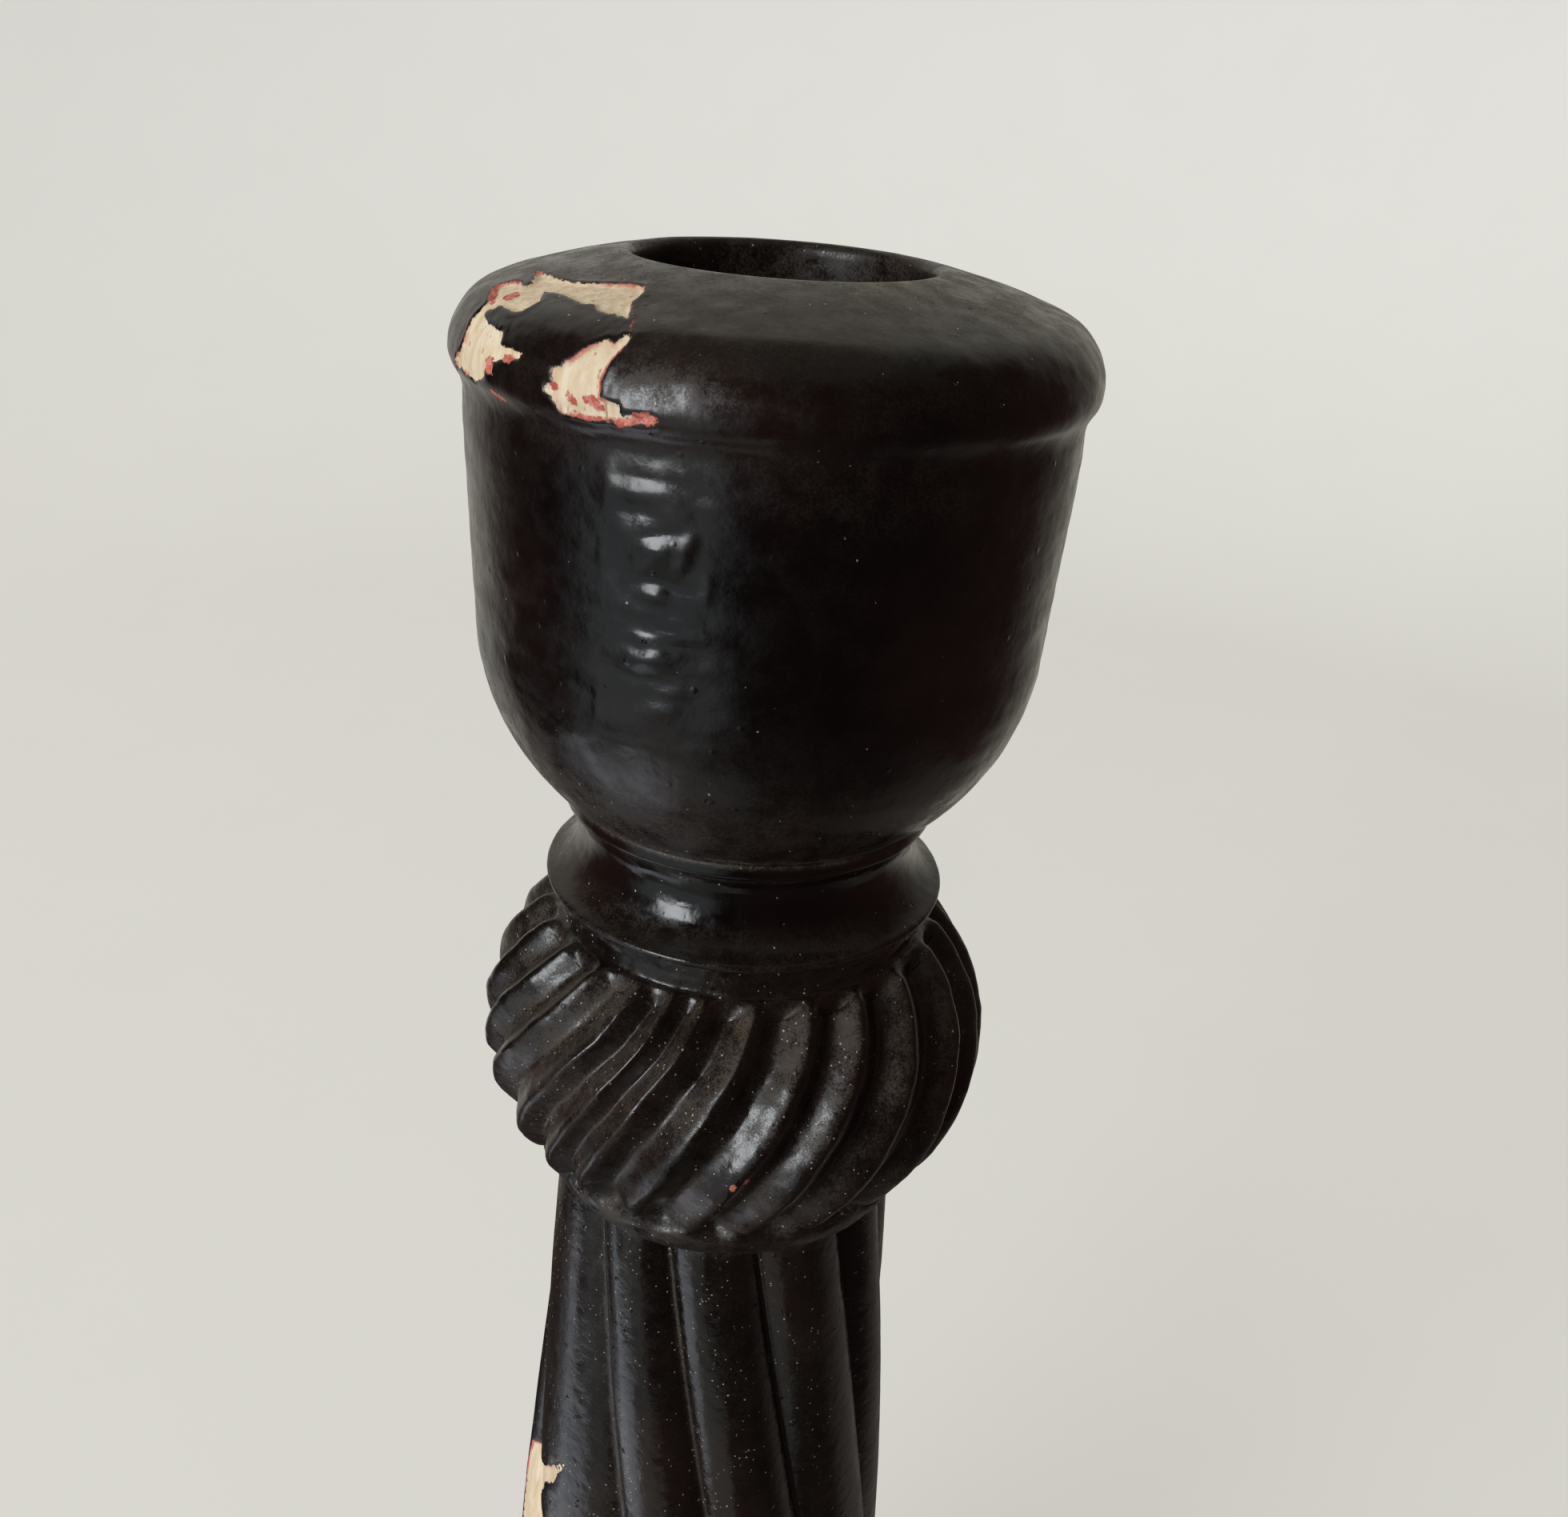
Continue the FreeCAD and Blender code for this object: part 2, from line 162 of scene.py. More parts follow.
def rings(corners, pitch, closed=False, soft=0.3):
    """Rings along an outline of (radius, height[, curve]) corners, spaced by pitch(radius, height).
    Gives radius, height, outward direction and the length run so far for each ring."""
    if closed:
        corners = [*corners, corners[0]]
    pieces = []
    for start, end in zip(corners, corners[1:]):
        pieces.append(run(start[:2], end[:2], end[2] if len(end) > 2 else 0))
    if not closed:
        pieces.append(np.array([corners[-1][:2]], float))
    line = eased(np.concatenate(pieces), soft, closed)
    if closed:
        line = np.concatenate([line, line[:1]])
    steps = np.hypot(*np.diff(line, axis=0).T)
    length = np.concatenate([[0], np.cumsum(steps)])
    middle = (line[1:] + line[:-1]) / 2
    density = np.concatenate([[0], np.cumsum(steps / pitch(middle[:, 0], middle[:, 1]))])
    count = int(math.ceil(density[-1]))
    wanted = np.linspace(0, density[-1], count + 1)
    if closed:
        wanted = wanted[:-1]
    at = np.interp(wanted, density, length)
    along = np.gradient(line, length, axis=0)
    along /= np.hypot(*along.T)[:, None]
    out = np.stack([-along[:, 1], along[:, 0]], axis=1)
    sampled = [np.interp(at, length, column) for column in (line[:, 0], line[:, 1], out[:, 0], out[:, 1])]
    return (*sampled, at)


def turned_points(ring, angles, dent):
    """Points of the surface: each ring point sunk by dent against its outward direction."""
    radius, height, out_r, out_z, _ = ring
    angles = np.radians(np.broadcast_to(angles, dent.shape))
    radius = radius[:, None] - dent * out_r[:, None]
    height = height[:, None] - dent * out_z[:, None]
    return np.stack([radius * np.sin(angles), -radius * np.cos(angles), height], axis=-1)


def grid_faces(rows, columns, closed):
    """Corner numbers of the quads between rings, and of the fans that close both poles of an open outline."""
    row = np.arange(rows if closed else rows - 1)[:, None]
    column = np.arange(columns)[None, :]
    beside = (column + 1) % columns
    below = (row + 1) % rows
    quads = np.stack([row * columns + column, below * columns + column,
                      below * columns + beside, row * columns + beside], axis=-1).reshape(-1, 4)
    if closed:
        return quads, np.zeros((0, 3), int)
    column, beside = column[0], beside[0]
    first, last = rows * columns, rows * columns + 1
    end = (rows - 1) * columns
    fans = [np.stack([np.full(columns, first), column, beside], axis=1),
            np.stack([end + column, np.full(columns, last), end + beside], axis=1)]
    return quads, np.concatenate(fans)


def turned_piece(name, points, closed, material, layers):
    """A mesh from rings of points.
    The first and last ring of an open outline sit on the axis and become one point each."""
    if not closed:
        poles = [points[0].mean(axis=0), points[-1].mean(axis=0)]
        layers = {key: layer[1:-1] for key, layer in layers.items()}
        points = points[1:-1]
    rows, columns = points.shape[:2]
    quads, fans = grid_faces(rows, columns, closed)
    flat = points.reshape(-1, 3)
    if not closed:
        flat = np.concatenate([flat, poles])
    mesh = bpy.data.meshes.new(name)
    mesh.vertices.add(len(flat))
    mesh.vertices.foreach_set("co", (flat * MM).ravel())
    mesh.loops.add(quads.size + fans.size)
    mesh.loops.foreach_set("vertex_index", np.concatenate([quads.ravel(), fans.ravel()]))
    starts = np.concatenate([np.arange(len(quads)) * 4, quads.size + np.arange(len(fans)) * 3])
    mesh.polygons.add(len(starts))
    mesh.polygons.foreach_set("loop_start", starts)
    mesh.update(calc_edges=True)
    mesh.polygons.foreach_set("use_smooth", np.ones(len(starts), bool))
    for key, layer in layers.items():
        values = np.zeros(len(flat), np.float32)
        values[:rows * columns] = layer.ravel()
        mesh.attributes.new(key, "FLOAT", "POINT").data.foreach_set("value", values)
    mesh.materials.append(material)
    mesh.validate()
    piece = bpy.data.objects.new(name, mesh)
    bpy.context.scene.collection.objects.link(piece)
    return piece


def columns(*zones):
    """Angles over zones of (start, end, step)."""
    parts = [np.arange(round((end - start) / step)) * step + start for start, end, step in zones]
    return np.concatenate(parts)


def plain_layers(shape):
    """Layers of a piece with neither flakes nor primer."""
    return {"flake": np.full(shape, FAR), "primer": np.full(shape, FAR)}


def settle(piece, node):
    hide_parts(node)
    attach(piece, "root")


# ---------------------------------------------------------------- flakes

PAINT = 0.22  # thickness of the paint that flakes off
EDGE_LIFT = 0.05  # how far it curls up round a flake


def inside_distance(x, y, corners):
    """Distance to the outline through corners, negative inside it."""
    corners = np.array(corners, float)
    nearest = np.full(x.shape, FAR)
    inside = np.zeros(x.shape, bool)
    for (ax, ay), (bx, by) in zip(corners, np.roll(corners, -1, axis=0)):
        dx, dy = bx - ax, by - ay
        share = np.clip(((x - ax) * dx + (y - ay) * dy) / (dx * dx + dy * dy), 0, 1)
        nearest = np.minimum(nearest, np.hypot(x - ax - share * dx, y - ay - share * dy))
        crosses = (ay > y) != (by > y)
        inside ^= crosses & (x < ax + (y - ay) * dx / (dy if dy else 1))
    return np.where(inside, -nearest, nearest)


def stroke_distance(x, y, strokes):
    """Distance to the nearest stroke (x1, y1, x2, y2, half width), negative inside one."""
    nearest = np.full(x.shape, FAR)
    for ax, ay, bx, by, half in strokes:
        dx, dy = bx - ax, by - ay
        share = np.clip(((x - ax) * dx + (y - ay) * dy) / max(dx * dx + dy * dy, 1e-9), 0, 1)
        nearest = np.minimum(nearest, np.hypot(x - ax - share * dx, y - ay - share * dy) - half)
    return nearest


def rounded_mm(degrees, radius):
    return np.radians(degrees) * radius


def sunk(flake):
    """How deep the surface lies by its distance to a flake: the paint's thickness, with a lifted edge."""
    return PAINT * smooth(0.04, -0.22, flake) - EDGE_LIFT * bell(flake, 0.3, 0.22) * (flake > 0)


def rolled_out(corners, radius):
    """(angle, length) corners laid out flat, in millimetres."""
    return [(rounded_mm(angle, radius), length) for angle, length in corners]


def rolled_strokes(strokes, radius):
    """(angle, length, angle, length, half width) strokes laid out flat, in millimetres."""
    return [(rounded_mm(a, radius), b, rounded_mm(c, radius), d, half) for a, b, c, d, half in strokes]


def front_angle(angle):
    """The same angle from -180 to 180."""
    return (angle + 180) % 360 - 180


# ---------------------------------------------------------------- materials

NEAR_BLACK = (0.0022, 0.0013, 0.0013)
WARM_BLACK = (0.0095, 0.0043, 0.0037)
DUST_AND_PAINTED_LIGHT_TONE = (0.066, 0.048, 0.034)
PALE_DUST = (0.42, 0.37, 0.31)
WOOD_PALE = (0.79, 0.665, 0.49)
WOOD_DEEP = (0.66, 0.49, 0.305)
WOOD_LINE = (0.34, 0.21, 0.11)
PRIMER = (0.44, 0.085, 0.055)
PRIMER_PALE = (0.66, 0.26, 0.19)
BEECH_RAY = (0.46, 0.25, 0.13)
FELT_DARK = (0.012, 0.035, 0.022)
FELT_PALE = (0.045, 0.10, 0.066)
FELT_CLUMP = (0.02, 0.05, 0.035)
ZINC_DARK = (0.42, 0.43, 0.44)
ZINC_PALE = (0.66, 0.66, 0.64)
DUST_ROUGHNESS = 0.85
WOOD_ROUGHNESS = 0.62
PINHOLE_DEPTH = 0.12
GRAIN_DEPTH = 0.12


class Graph:
    """Short ways to add shader nodes. Points are in millimetres."""

    def __init__(self, owner):
        owner.use_nodes = True
        self.tree = owner.node_tree
        self.tree.nodes.clear()

    def add(self, kind, inputs, output=0, **settings):
        node = self.tree.nodes.new("ShaderNode" + kind)
        for key, value in settings.items():
            setattr(node, key, value)
        for key, value in inputs.items():
            if isinstance(value, bpy.types.NodeSocket):
                self.tree.links.new(value, node.inputs[key])
            else:
                node.inputs[key].default_value = value
        return node.outputs[output] if node.outputs else node

    def math(self, operation, *values, clamp=False):
        return self.add("Math", dict(enumerate(values)), operation=operation, use_clamp=clamp)

    def times(self, first, second, clamp=False):
        return self.math("MULTIPLY", first, second, clamp=clamp)

    def ramp(self, value, low, high, to_low=0.0, to_high=1.0):
        inputs = {"Value": value, "From Min": low, "From Max": high, "To Min": to_low, "To Max": to_high}
        return self.add("MapRange", inputs, interpolation_type="SMOOTHSTEP")

    def mix(self, factor, first, second):
        first, second = ((*c, 1) if isinstance(c, tuple) else c for c in (first, second))
        return self.add("Mix", {0: factor, 6: first, 7: second}, 2, data_type="RGBA")

    def blend(self, factor, first, second):
        return self.add("Mix", {0: factor, 2: first, 3: second}, 0, data_type="FLOAT")

    def points(self, stretch=(1, 1, 1)):
        scale = tuple(share / MM for share in stretch)
        place = self.add("TexCoord", {}, "Object")
        return self.add("VectorMath", {0: place, 1: scale}, operation="MULTIPLY")

    def noise(self, points, scale, detail=3.0, rough=0.5):
        return self.add("TexNoise", {"Vector": points, "Scale": scale, "Detail": detail, "Roughness": rough})

    def cells(self, points, scale):
        """Distance to the middle of the nearest cell, and that cell's own random number."""
        node = self.add("TexVoronoi", {"Vector": points, "Scale": scale}).node
        own = self.add("SeparateColor", {0: node.outputs["Color"]})
        return node.outputs["Distance"], own

    def between(self, value, low, high, soft):
        """1 from low to high and 0 outside them, with edges that soft."""
        above = self.ramp(value, low - soft, low + soft)
        return self.times(above, self.ramp(value, high + soft, high - soft))

    def turn(self, place):
        """Angle round the axis, in degrees."""
        x, y = (self.add("SeparateXYZ", {0: place}, axis) for axis in "XY")
        return self.times(self.math("ARCTAN2", x, self.times(y, -1.0)), 180 / math.pi)

    def layer(self, name):
        return self.add("Attribute", {}, "Fac", attribute_name=name)

    def finish(self, colour, roughness, height, **uniform):
        """A surface whose height, in millimetres, bends the light."""
        bump = self.add("Bump", {"Height": height, "Distance": MM, "Strength": 1.0}, "Normal")
        inputs = {"Base Color": colour, "Roughness": roughness, "Normal": bump}
        for key, value in uniform.items():
            inputs[key.replace("_", " ")] = value
        surface = self.add("BsdfPrincipled", inputs)
        self.add("OutputMaterial", {"Surface": surface})


def wood_colour(graph):
    """Pale close-grained wood: long streaks up the piece, with a few dark pores and cracks."""
    streaks = graph.noise(graph.points((1, 1, 0.06)), 1.1, 5.0, 0.6)
    pores = graph.noise(graph.points((1, 1, 0.1)), 3.2, 2.0, 0.5)
    stain = graph.noise(graph.points(), 0.35, 3.0)
    colour = graph.mix(graph.ramp(streaks, 0.38, 0.66), WOOD_PALE, WOOD_DEEP)
    colour = graph.mix(graph.ramp(stain, 0.5, 0.75, 0, 0.35), colour, WOOD_DEEP)
    colour = graph.mix(graph.ramp(pores, 0.66, 0.74, 0, 0.75), colour, WOOD_LINE)
    return colour, streaks


def paint_material(name, gloss, peel, density, grain):
    """Old black gloss with dust, specks, grains and pinholes, over red primer and bare wood.
    The dust layer also carries painted light: paler brown laid on the sides the window lights.
    Gloss is the clean paint's roughness, peel and grain are heights in millimetres, density is of specks."""
    material = bpy.data.materials.new(name)
    graph = Graph(material)
    points = graph.points()
    fine = graph.noise(points, 2.2, 4.0, 0.6)
    powder = graph.noise(points, 5.5, 3.0, 0.7)
    patchy = graph.noise(points, 0.45, 4.0, 0.6)
    broad = graph.noise(points, 0.07, 2.0)

    # paint, dust and loose specks; the dust layer also carries painted light, paler brown on lit sides
    colour = graph.mix(graph.ramp(broad, 0.35, 0.7), NEAR_BLACK, WARM_BLACK)
    dust_and_painted_light = graph.times(graph.layer("dust_and_painted_light"), graph.ramp(patchy, 0.3, 0.62, 0.35, 1.0))
    dust_and_painted_light = graph.times(dust_and_painted_light, graph.ramp(fine, 0.3, 0.6, 0.45, 1.0))
    dust_and_painted_light = graph.times(dust_and_painted_light, graph.ramp(powder, 0.36, 0.64, 0.35, 1.5), clamp=True)
    colour = graph.mix(dust_and_painted_light, colour, DUST_AND_PAINTED_LIGHT_TONE)
    speck_distance, speck_own = graph.cells(points, 1.9)
    gathered = graph.ramp(graph.noise(points, 0.28, 3.0), 0.42, 0.66, 0.3 * density, 2.6 * density)
    often = graph.math("MULTIPLY_ADD", graph.layer("dust_and_painted_light"), 0.25, gathered)
    chosen = graph.math("GREATER_THAN", often, speck_own)
    size = graph.ramp(fine, 0.3, 0.7, 0.09, 0.2)
    speck = graph.times(chosen, graph.math("GREATER_THAN", size, speck_distance))
    speck = graph.times(speck, graph.ramp(patchy, 0.3, 0.6, 0.25, 0.8))
    colour = graph.mix(speck, colour, PALE_DUST)
    roughness = graph.ramp(patchy, 0.3, 0.7, gloss - 0.05, gloss + 0.09)
    roughness = graph.blend(graph.times(dust_and_painted_light, 1.3, clamp=True), roughness, DUST_ROUGHNESS)

    # bare wood and primer, where the flake and primer distances fall below nought
    ragged = graph.math("MULTIPLY_ADD", fine, 0.5, -0.25)
    flake = graph.math("ADD", graph.layer("flake"), ragged)
    bare = graph.ramp(flake, 0.05, -0.05)
    wood, streaks = wood_colour(graph)
    colour = graph.mix(bare, colour, wood)
    primer = graph.math("ADD", graph.layer("primer"), graph.math("MULTIPLY_ADD", fine, 0.9, -0.45))
    fringe = graph.times(graph.ramp(flake, -0.28, -0.05), graph.ramp(flake, 0.13, 0.04))
    fringe = graph.times(fringe, graph.ramp(broad, 0.48, 0.56))
    fringe = graph.times(fringe, graph.ramp(patchy, 0.44, 0.54))
    red = graph.math("MAXIMUM", graph.ramp(primer, 0.06, -0.06), fringe)
    colour = graph.mix(red, colour, graph.mix(graph.ramp(fine, 0.4, 0.62), PRIMER, PRIMER_PALE))
    matt = graph.math("MAXIMUM", bare, red)
    roughness = graph.blend(matt, roughness, WOOD_ROUGHNESS)

    # relief finer than the mesh: peel, grains under the paint, pinholes and wood grain
    height = graph.times(graph.noise(points, 0.9, 3.0, 0.5), peel)
    grain_distance, grain_own = graph.cells(points, 0.62)
    grains = graph.times(graph.math("GREATER_THAN", 0.3, grain_own),
                         graph.ramp(grain_distance, 0.2, 0.02, 0, grain))
    holes = graph.times(graph.math("GREATER_THAN", grain_own, 0.93),
                        graph.ramp(grain_distance, 0.14, 0.08, 0, -PINHOLE_DEPTH))
    height = graph.math("ADD", height, graph.math("ADD", grains, holes))
    height = graph.blend(matt, height, graph.times(streaks, GRAIN_DEPTH))
    graph.finish(colour, roughness, height)
    return material


def felt_material():
    """Pressed green felt: matted fibres in loose clumps."""
    material = bpy.data.materials.new("felt")
    graph = Graph(material)
    points = graph.points()
    fibres = graph.noise(points, 3.0, 5.0, 0.7)
    clumps = graph.noise(points, 0.4, 3.0)
    colour = graph.mix(graph.ramp(fibres, 0.35, 0.7), FELT_DARK, FELT_PALE)
    colour = graph.mix(graph.ramp(clumps, 0.45, 0.75, 0, 0.4), colour, FELT_CLUMP)
    graph.finish(colour, graph.ramp(fibres, 0.3, 0.7, 0.86, 0.98), graph.times(fibres, 0.35),
                 Sheen_Weight=0.4)
    return material


def dowel_material():
    """Bare beech with short dark rays."""
    material = bpy.data.materials.new("beech")
    graph = Graph(material)
    colour, streaks = wood_colour(graph)
    rays = graph.noise(graph.points((1, 1, 0.25)), 2.6, 3.0, 0.6)
    colour = graph.mix(graph.ramp(rays, 0.55, 0.7, 0, 0.45), colour, BEECH_RAY)
    graph.finish(colour, graph.ramp(rays, 0.3, 0.7, 0.5, 0.68), graph.times(streaks, 0.1))
    return material


def steel_material():
    """Zinc-plated steel: spangled, rubbed and a little dull in places."""
    material = bpy.data.materials.new("zinc_steel")
    graph = Graph(material)
    points = graph.points()
    spangle = graph.noise(points, 1.4, 4.0, 0.6)
    rubs = graph.noise(graph.points((1, 1, 5)), 0.9, 4.0, 0.7)
    colour = graph.mix(graph.ramp(spangle, 0.35, 0.65), ZINC_DARK, ZINC_PALE)
    roughness = graph.ramp(rubs, 0.3, 0.7, 0.24, 0.46)
    graph.finish(colour, roughness, graph.times(rubs, 0.03), Metallic=1.0)
    return material


# ---------------------------------------------------------------- cup

SOCKET_RADIUS = 11.5
SOCKET_DEPTH = 24
MOUTH_ROUND = 0.45
UPPER_HOLE = 5.1  # radius of the upper dowel's hole
UPPER_HOLE_RISE = 13  # how far it reaches into the cup
UPPER_HOLE_FALL = 16  # how far it reaches into the knop
QUIRK_DROP = 9.9  # the fine groove under the rim
SEAM_DROP = 43.6  # where the bowl meets the collar
FLAKE_RADIUS = 24.0  # radius at which flakes on the rim are laid out flat
CREST_START = 12.3  # radius where the measured run over the crown starts
RIM_END = 20  # run over the crown at which the wall begins

# flakes on the rim, as (angle, run over the crown)
LEFT_FLAKE = [
    (-72, 6.6), (-66, 6.4), (-58, 6.3), (-51, 6.0), (-45, 5.2), (-39, 4.6), (-34.5, 4.5), (-32.6, 5.4),
    (-32.2, 7.0), (-30.2, 8.0), (-28.4, 9.3), (-30.4, 9.0), (-30.6, 9.4), (-32, 8.9), (-33, 9.2), (-36, 8.9),
    (-38.5, 8.3), (-41, 8.6), (-45, 8.2), (-50, 8.1), (-54, 8.3), (-52, 9), (-50.4, 9.6), (-50.3, 10.3),
    (-50.8, 10.9), (-53, 11.3), (-56, 11.2), (-59, 11), (-58.6, 11.4), (-61, 11.9), (-60, 12.3), (-57, 12.7),
    (-54, 12.8), (-51, 12.8), (-50.2, 13.8), (-47, 13.8), (-44, 13.9), (-44.6, 14.4), (-48, 14.5),
    (-50, 14.9), (-52.5, 15.1), (-53, 16), (-55, 16.7), (-58, 16.9), (-61, 16.8), (-63, 16.3), (-66, 16.8),
    (-67.5, 16.7), (-66, 15.8), (-63.5, 15), (-62.8, 14), (-63.5, 12.5), (-63.2, 11.5), (-65, 10.9),
    (-69, 10.2), (-71, 9.8), (-69, 8.7), (-66, 8.4), (-62, 8.7), (-63, 7.9), (-67, 7.3),
]
RIGHT_FLAKE = [
    (-25, 11.0), (-25.3, 11.9), (-26.6, 13), (-27.4, 14.3), (-27.2, 15.5), (-24, 15.8), (-23.6, 16.4),
    (-18.6, 16.1), (-18.4, 16.7), (-24, 17.0), (-30, 17.1), (-34.5, 17.2), (-35.6, 16.4), (-38, 15.7),
    (-37.3, 15.2), (-35.8, 15.3), (-37.4, 14.4), (-35.2, 14.1), (-32.9, 13.2), (-30.6, 12.2), (-28.6, 11.5),
    (-27.4, 12.0), (-26.2, 11.1),
]
# primer that still shows, as (angle, run, angle, run, half width)
CUP_PRIMER = [
    (-62, 9.7, -60.5, 9.9, 0.55), (-69, 10.1, -63, 11.1, 0.25), (-52.5, 15.2, -51.5, 15.4, 0.5),
    (-48, 14.5, -46.5, 14.4, 0.3), (-31, 7.5, -27, 9.4, 0.05), (-27, 9.4, -25.5, 11, 0.05),
    (-29.5, 15.8, -27.5, 16.2, 0.35), (-33, 15.8, -32.2, 16.2, 0.25), (-33, 16.95, -24.5, 17.0, 0.08),
    (-24, 17.0, -21, 16.6, 0.3), (-21, 16.5, -18.9, 16.4, 0.42), (-36.4, 15.4, -35.8, 15.5, 0.2),
    (-52, 17.2, -49, 17.6, 0.22),
]
# lumps in the paint of the wall, as (angle, drop, half width in degrees, half height, height of the lump)
CUP_LUMPS = [
    (-21.5, 15.3, 3.0, 0.65, 0.17), (-18.5, 16.6, 3.2, 0.75, 0.30), (-12.7, 15.6, 0.9, 0.5, 0.12),
    (-13.5, 16.6, 0.9, 0.5, 0.13), (-14.1, 17.6, 0.8, 0.45, 0.1), (-9.6, 18.5, 0.8, 0.5, 0.08),
    (-20.5, 17.8, 2.8, 0.6, 0.16), (-18.5, 19.8, 1.9, 0.65, 0.22), (-24, 20.8, 2.5, 0.4, 0.08),
    (-15, 21.6, 2.6, 0.4, 0.09), (-9.9, 19.5, 0.8, 0.5, 0.1), (-19.5, 24.5, 3.6, 0.95, 0.42),
    (-15.5, 26.8, 2.2, 0.5, 0.15), (-17, 28.3, 3.0, 0.5, 0.2), (-20, 29.3, 4.5, 0.6, 0.10),
    (-27, 12.5, 1.2, 1.6, 0.10), (-28, 17.5, 1.0, 1.4, 0.08), (-22, 31.3, 4.5, 0.6, 0.08),
]
CUP_SAG = [(-29.4, 28), (-29.4, 30), (-30.4, 31.4), (-32.5, 32.1), (-35.5, 32.1)]


def cup_outline():
    seat = CUP_BOTTOM - MOUTH
    below_mouth = [
        (0, -SOCKET_DEPTH), (SOCKET_RADIUS, -SOCKET_DEPTH), (SOCKET_RADIUS, -MOUTH_ROUND),
        (SOCKET_RADIUS + MOUTH_ROUND, 0, MOUTH_ROUND), (CREST_START, 0), (21.5, -2.4, 60), (25.2, -7.4, 5.23),
        (24.5, -9.0, 2.4), (24.18, -10.0), (24.24, -12.4), (23.5, -28), (16.1, seat, 20.3),
        (UPPER_HOLE, seat), (UPPER_HOLE, seat + UPPER_HOLE_RISE), (0, seat + UPPER_HOLE_RISE),
    ]
    return [(radius, height + MOUTH, *curve) for radius, height, *curve in below_mouth]


def cup_pitch(radius, height):
    """Rings lie closest on the crown and rim, and widest where nothing shows."""
    drop = MOUTH - height
    outside = np.where(drop < 10.5, 0.24, 0.36)
    socket = np.where(drop < 6, 0.45, 1.0)
    hidden = (radius < 15.6) & (drop > 30) | (radius < SOCKET_RADIUS - 0.2)
    return np.where(hidden, 1.6, np.where(radius > CREST_START - 0.1, outside, socket))


def cup_relief(place, angle, drop, over, outside):
    """How deep brush strokes and lumps of thick paint lie."""
    wall = over > RIM_END
    stroke = fractal(place, (7, 7, 1.1), 11)
    ripple = fractal(place, (3.2, 3.2, 1.0), 15)
    thick = bell(angle, -18, 11) * smooth(10.5, 12.5, drop) * smooth(34, 28, drop)
    dent = outside * (-0.05 * fractal(place, 9, 5) - 0.024 * stroke - 0.026 * fractal(place, 2.6, 13))
    dent += outside * 0.03 * fractal(place, 1.1, 16, 2) * bell(drop, 5.5, 2.5)
    heaps = fractal(place, (4.6, 4.6, 1.25), 19, 2)
    dent -= outside * thick * wall * (0.08 * ripple + 0.2 * np.clip(heaps, 0, 1))
    for turn, low, wide, tall, lump in CUP_LUMPS:
        tilted = drop + 0.3 * ripple + 0.04 * (angle - turn)
        dent -= outside * lump * bell(angle, turn, 1.3 * wide) * bell(tilted, low, tall) * wall
    path = rolled_out(CUP_SAG, FLAKE_RADIUS)
    sag = stroke_distance(rounded_mm(angle, FLAKE_RADIUS), drop + np.zeros_like(over),
                          [(*start, *end, 0) for start, end in zip(path, path[1:])])
    dent -= outside * 0.05 * bell(sag + 0.2 * ripple, 0, 0.36) * wall
    return dent


def cup_flakes(place, angle, over):
    """Distances to the rim's flakes and to the primer that still shows."""
    across = rounded_mm(angle, FLAKE_RADIUS)
    ragged = 0.13 * fractal(place, 0.9, 31)
    flake = np.full(across.shape, FAR)
    primer = np.full(across.shape, FAR)
    near = (angle < -10) & (over > 2) & (over < RIM_END)
    for corners in (LEFT_FLAKE, RIGHT_FLAKE):
        distance = inside_distance(across[near], over[near], rolled_out(corners, FLAKE_RADIUS))
        flake[near] = np.minimum(flake[near], distance + ragged[near])
    primer[near] = stroke_distance(across[near], over[near], rolled_strokes(CUP_PRIMER, FLAKE_RADIUS))
    return flake, primer


def cup_dust_and_painted_light(radius, angle, drop, outside):
    """Dust on the crown, in the socket, under the rim and where the bowl turns in; under the bowl it is also
    painted light, heavier on the window-lit left.
    """
    socket = radius < SOCKET_RADIUS + 0.3
    dust_and_painted_light = 0.22 * smooth(5.0, 0.6, drop) * ~socket
    dust_and_painted_light = dust_and_painted_light + 0.75 * smooth(SEAM_DROP - 1, SEAM_DROP, drop) * (radius > 12)
    dust_and_painted_light = dust_and_painted_light + outside * (0.08 * bell(drop, QUIRK_DROP, 1.0) + 0.05 * bell(drop, 5.6, 1.8) + 0.03)
    dust_and_painted_light = dust_and_painted_light + outside * 0.4 * bell(drop, 5.4, 1.8) * bell(angle, -17, 9)
    # painted light: the brown under the bowl is laid heavier on the left, the side the window lights, than on
    # the right
    dust_and_painted_light = dust_and_painted_light + outside * 0.4 * smooth(30, 41, drop) * (0.45 + 0.55 * smooth(10, -30, angle))
    dust_and_painted_light = dust_and_painted_light + outside * 0.09 * bell(drop, 12.5, 1.6) * smooth(-14, 10, angle)
    return dust_and_painted_light + 0.4 * socket


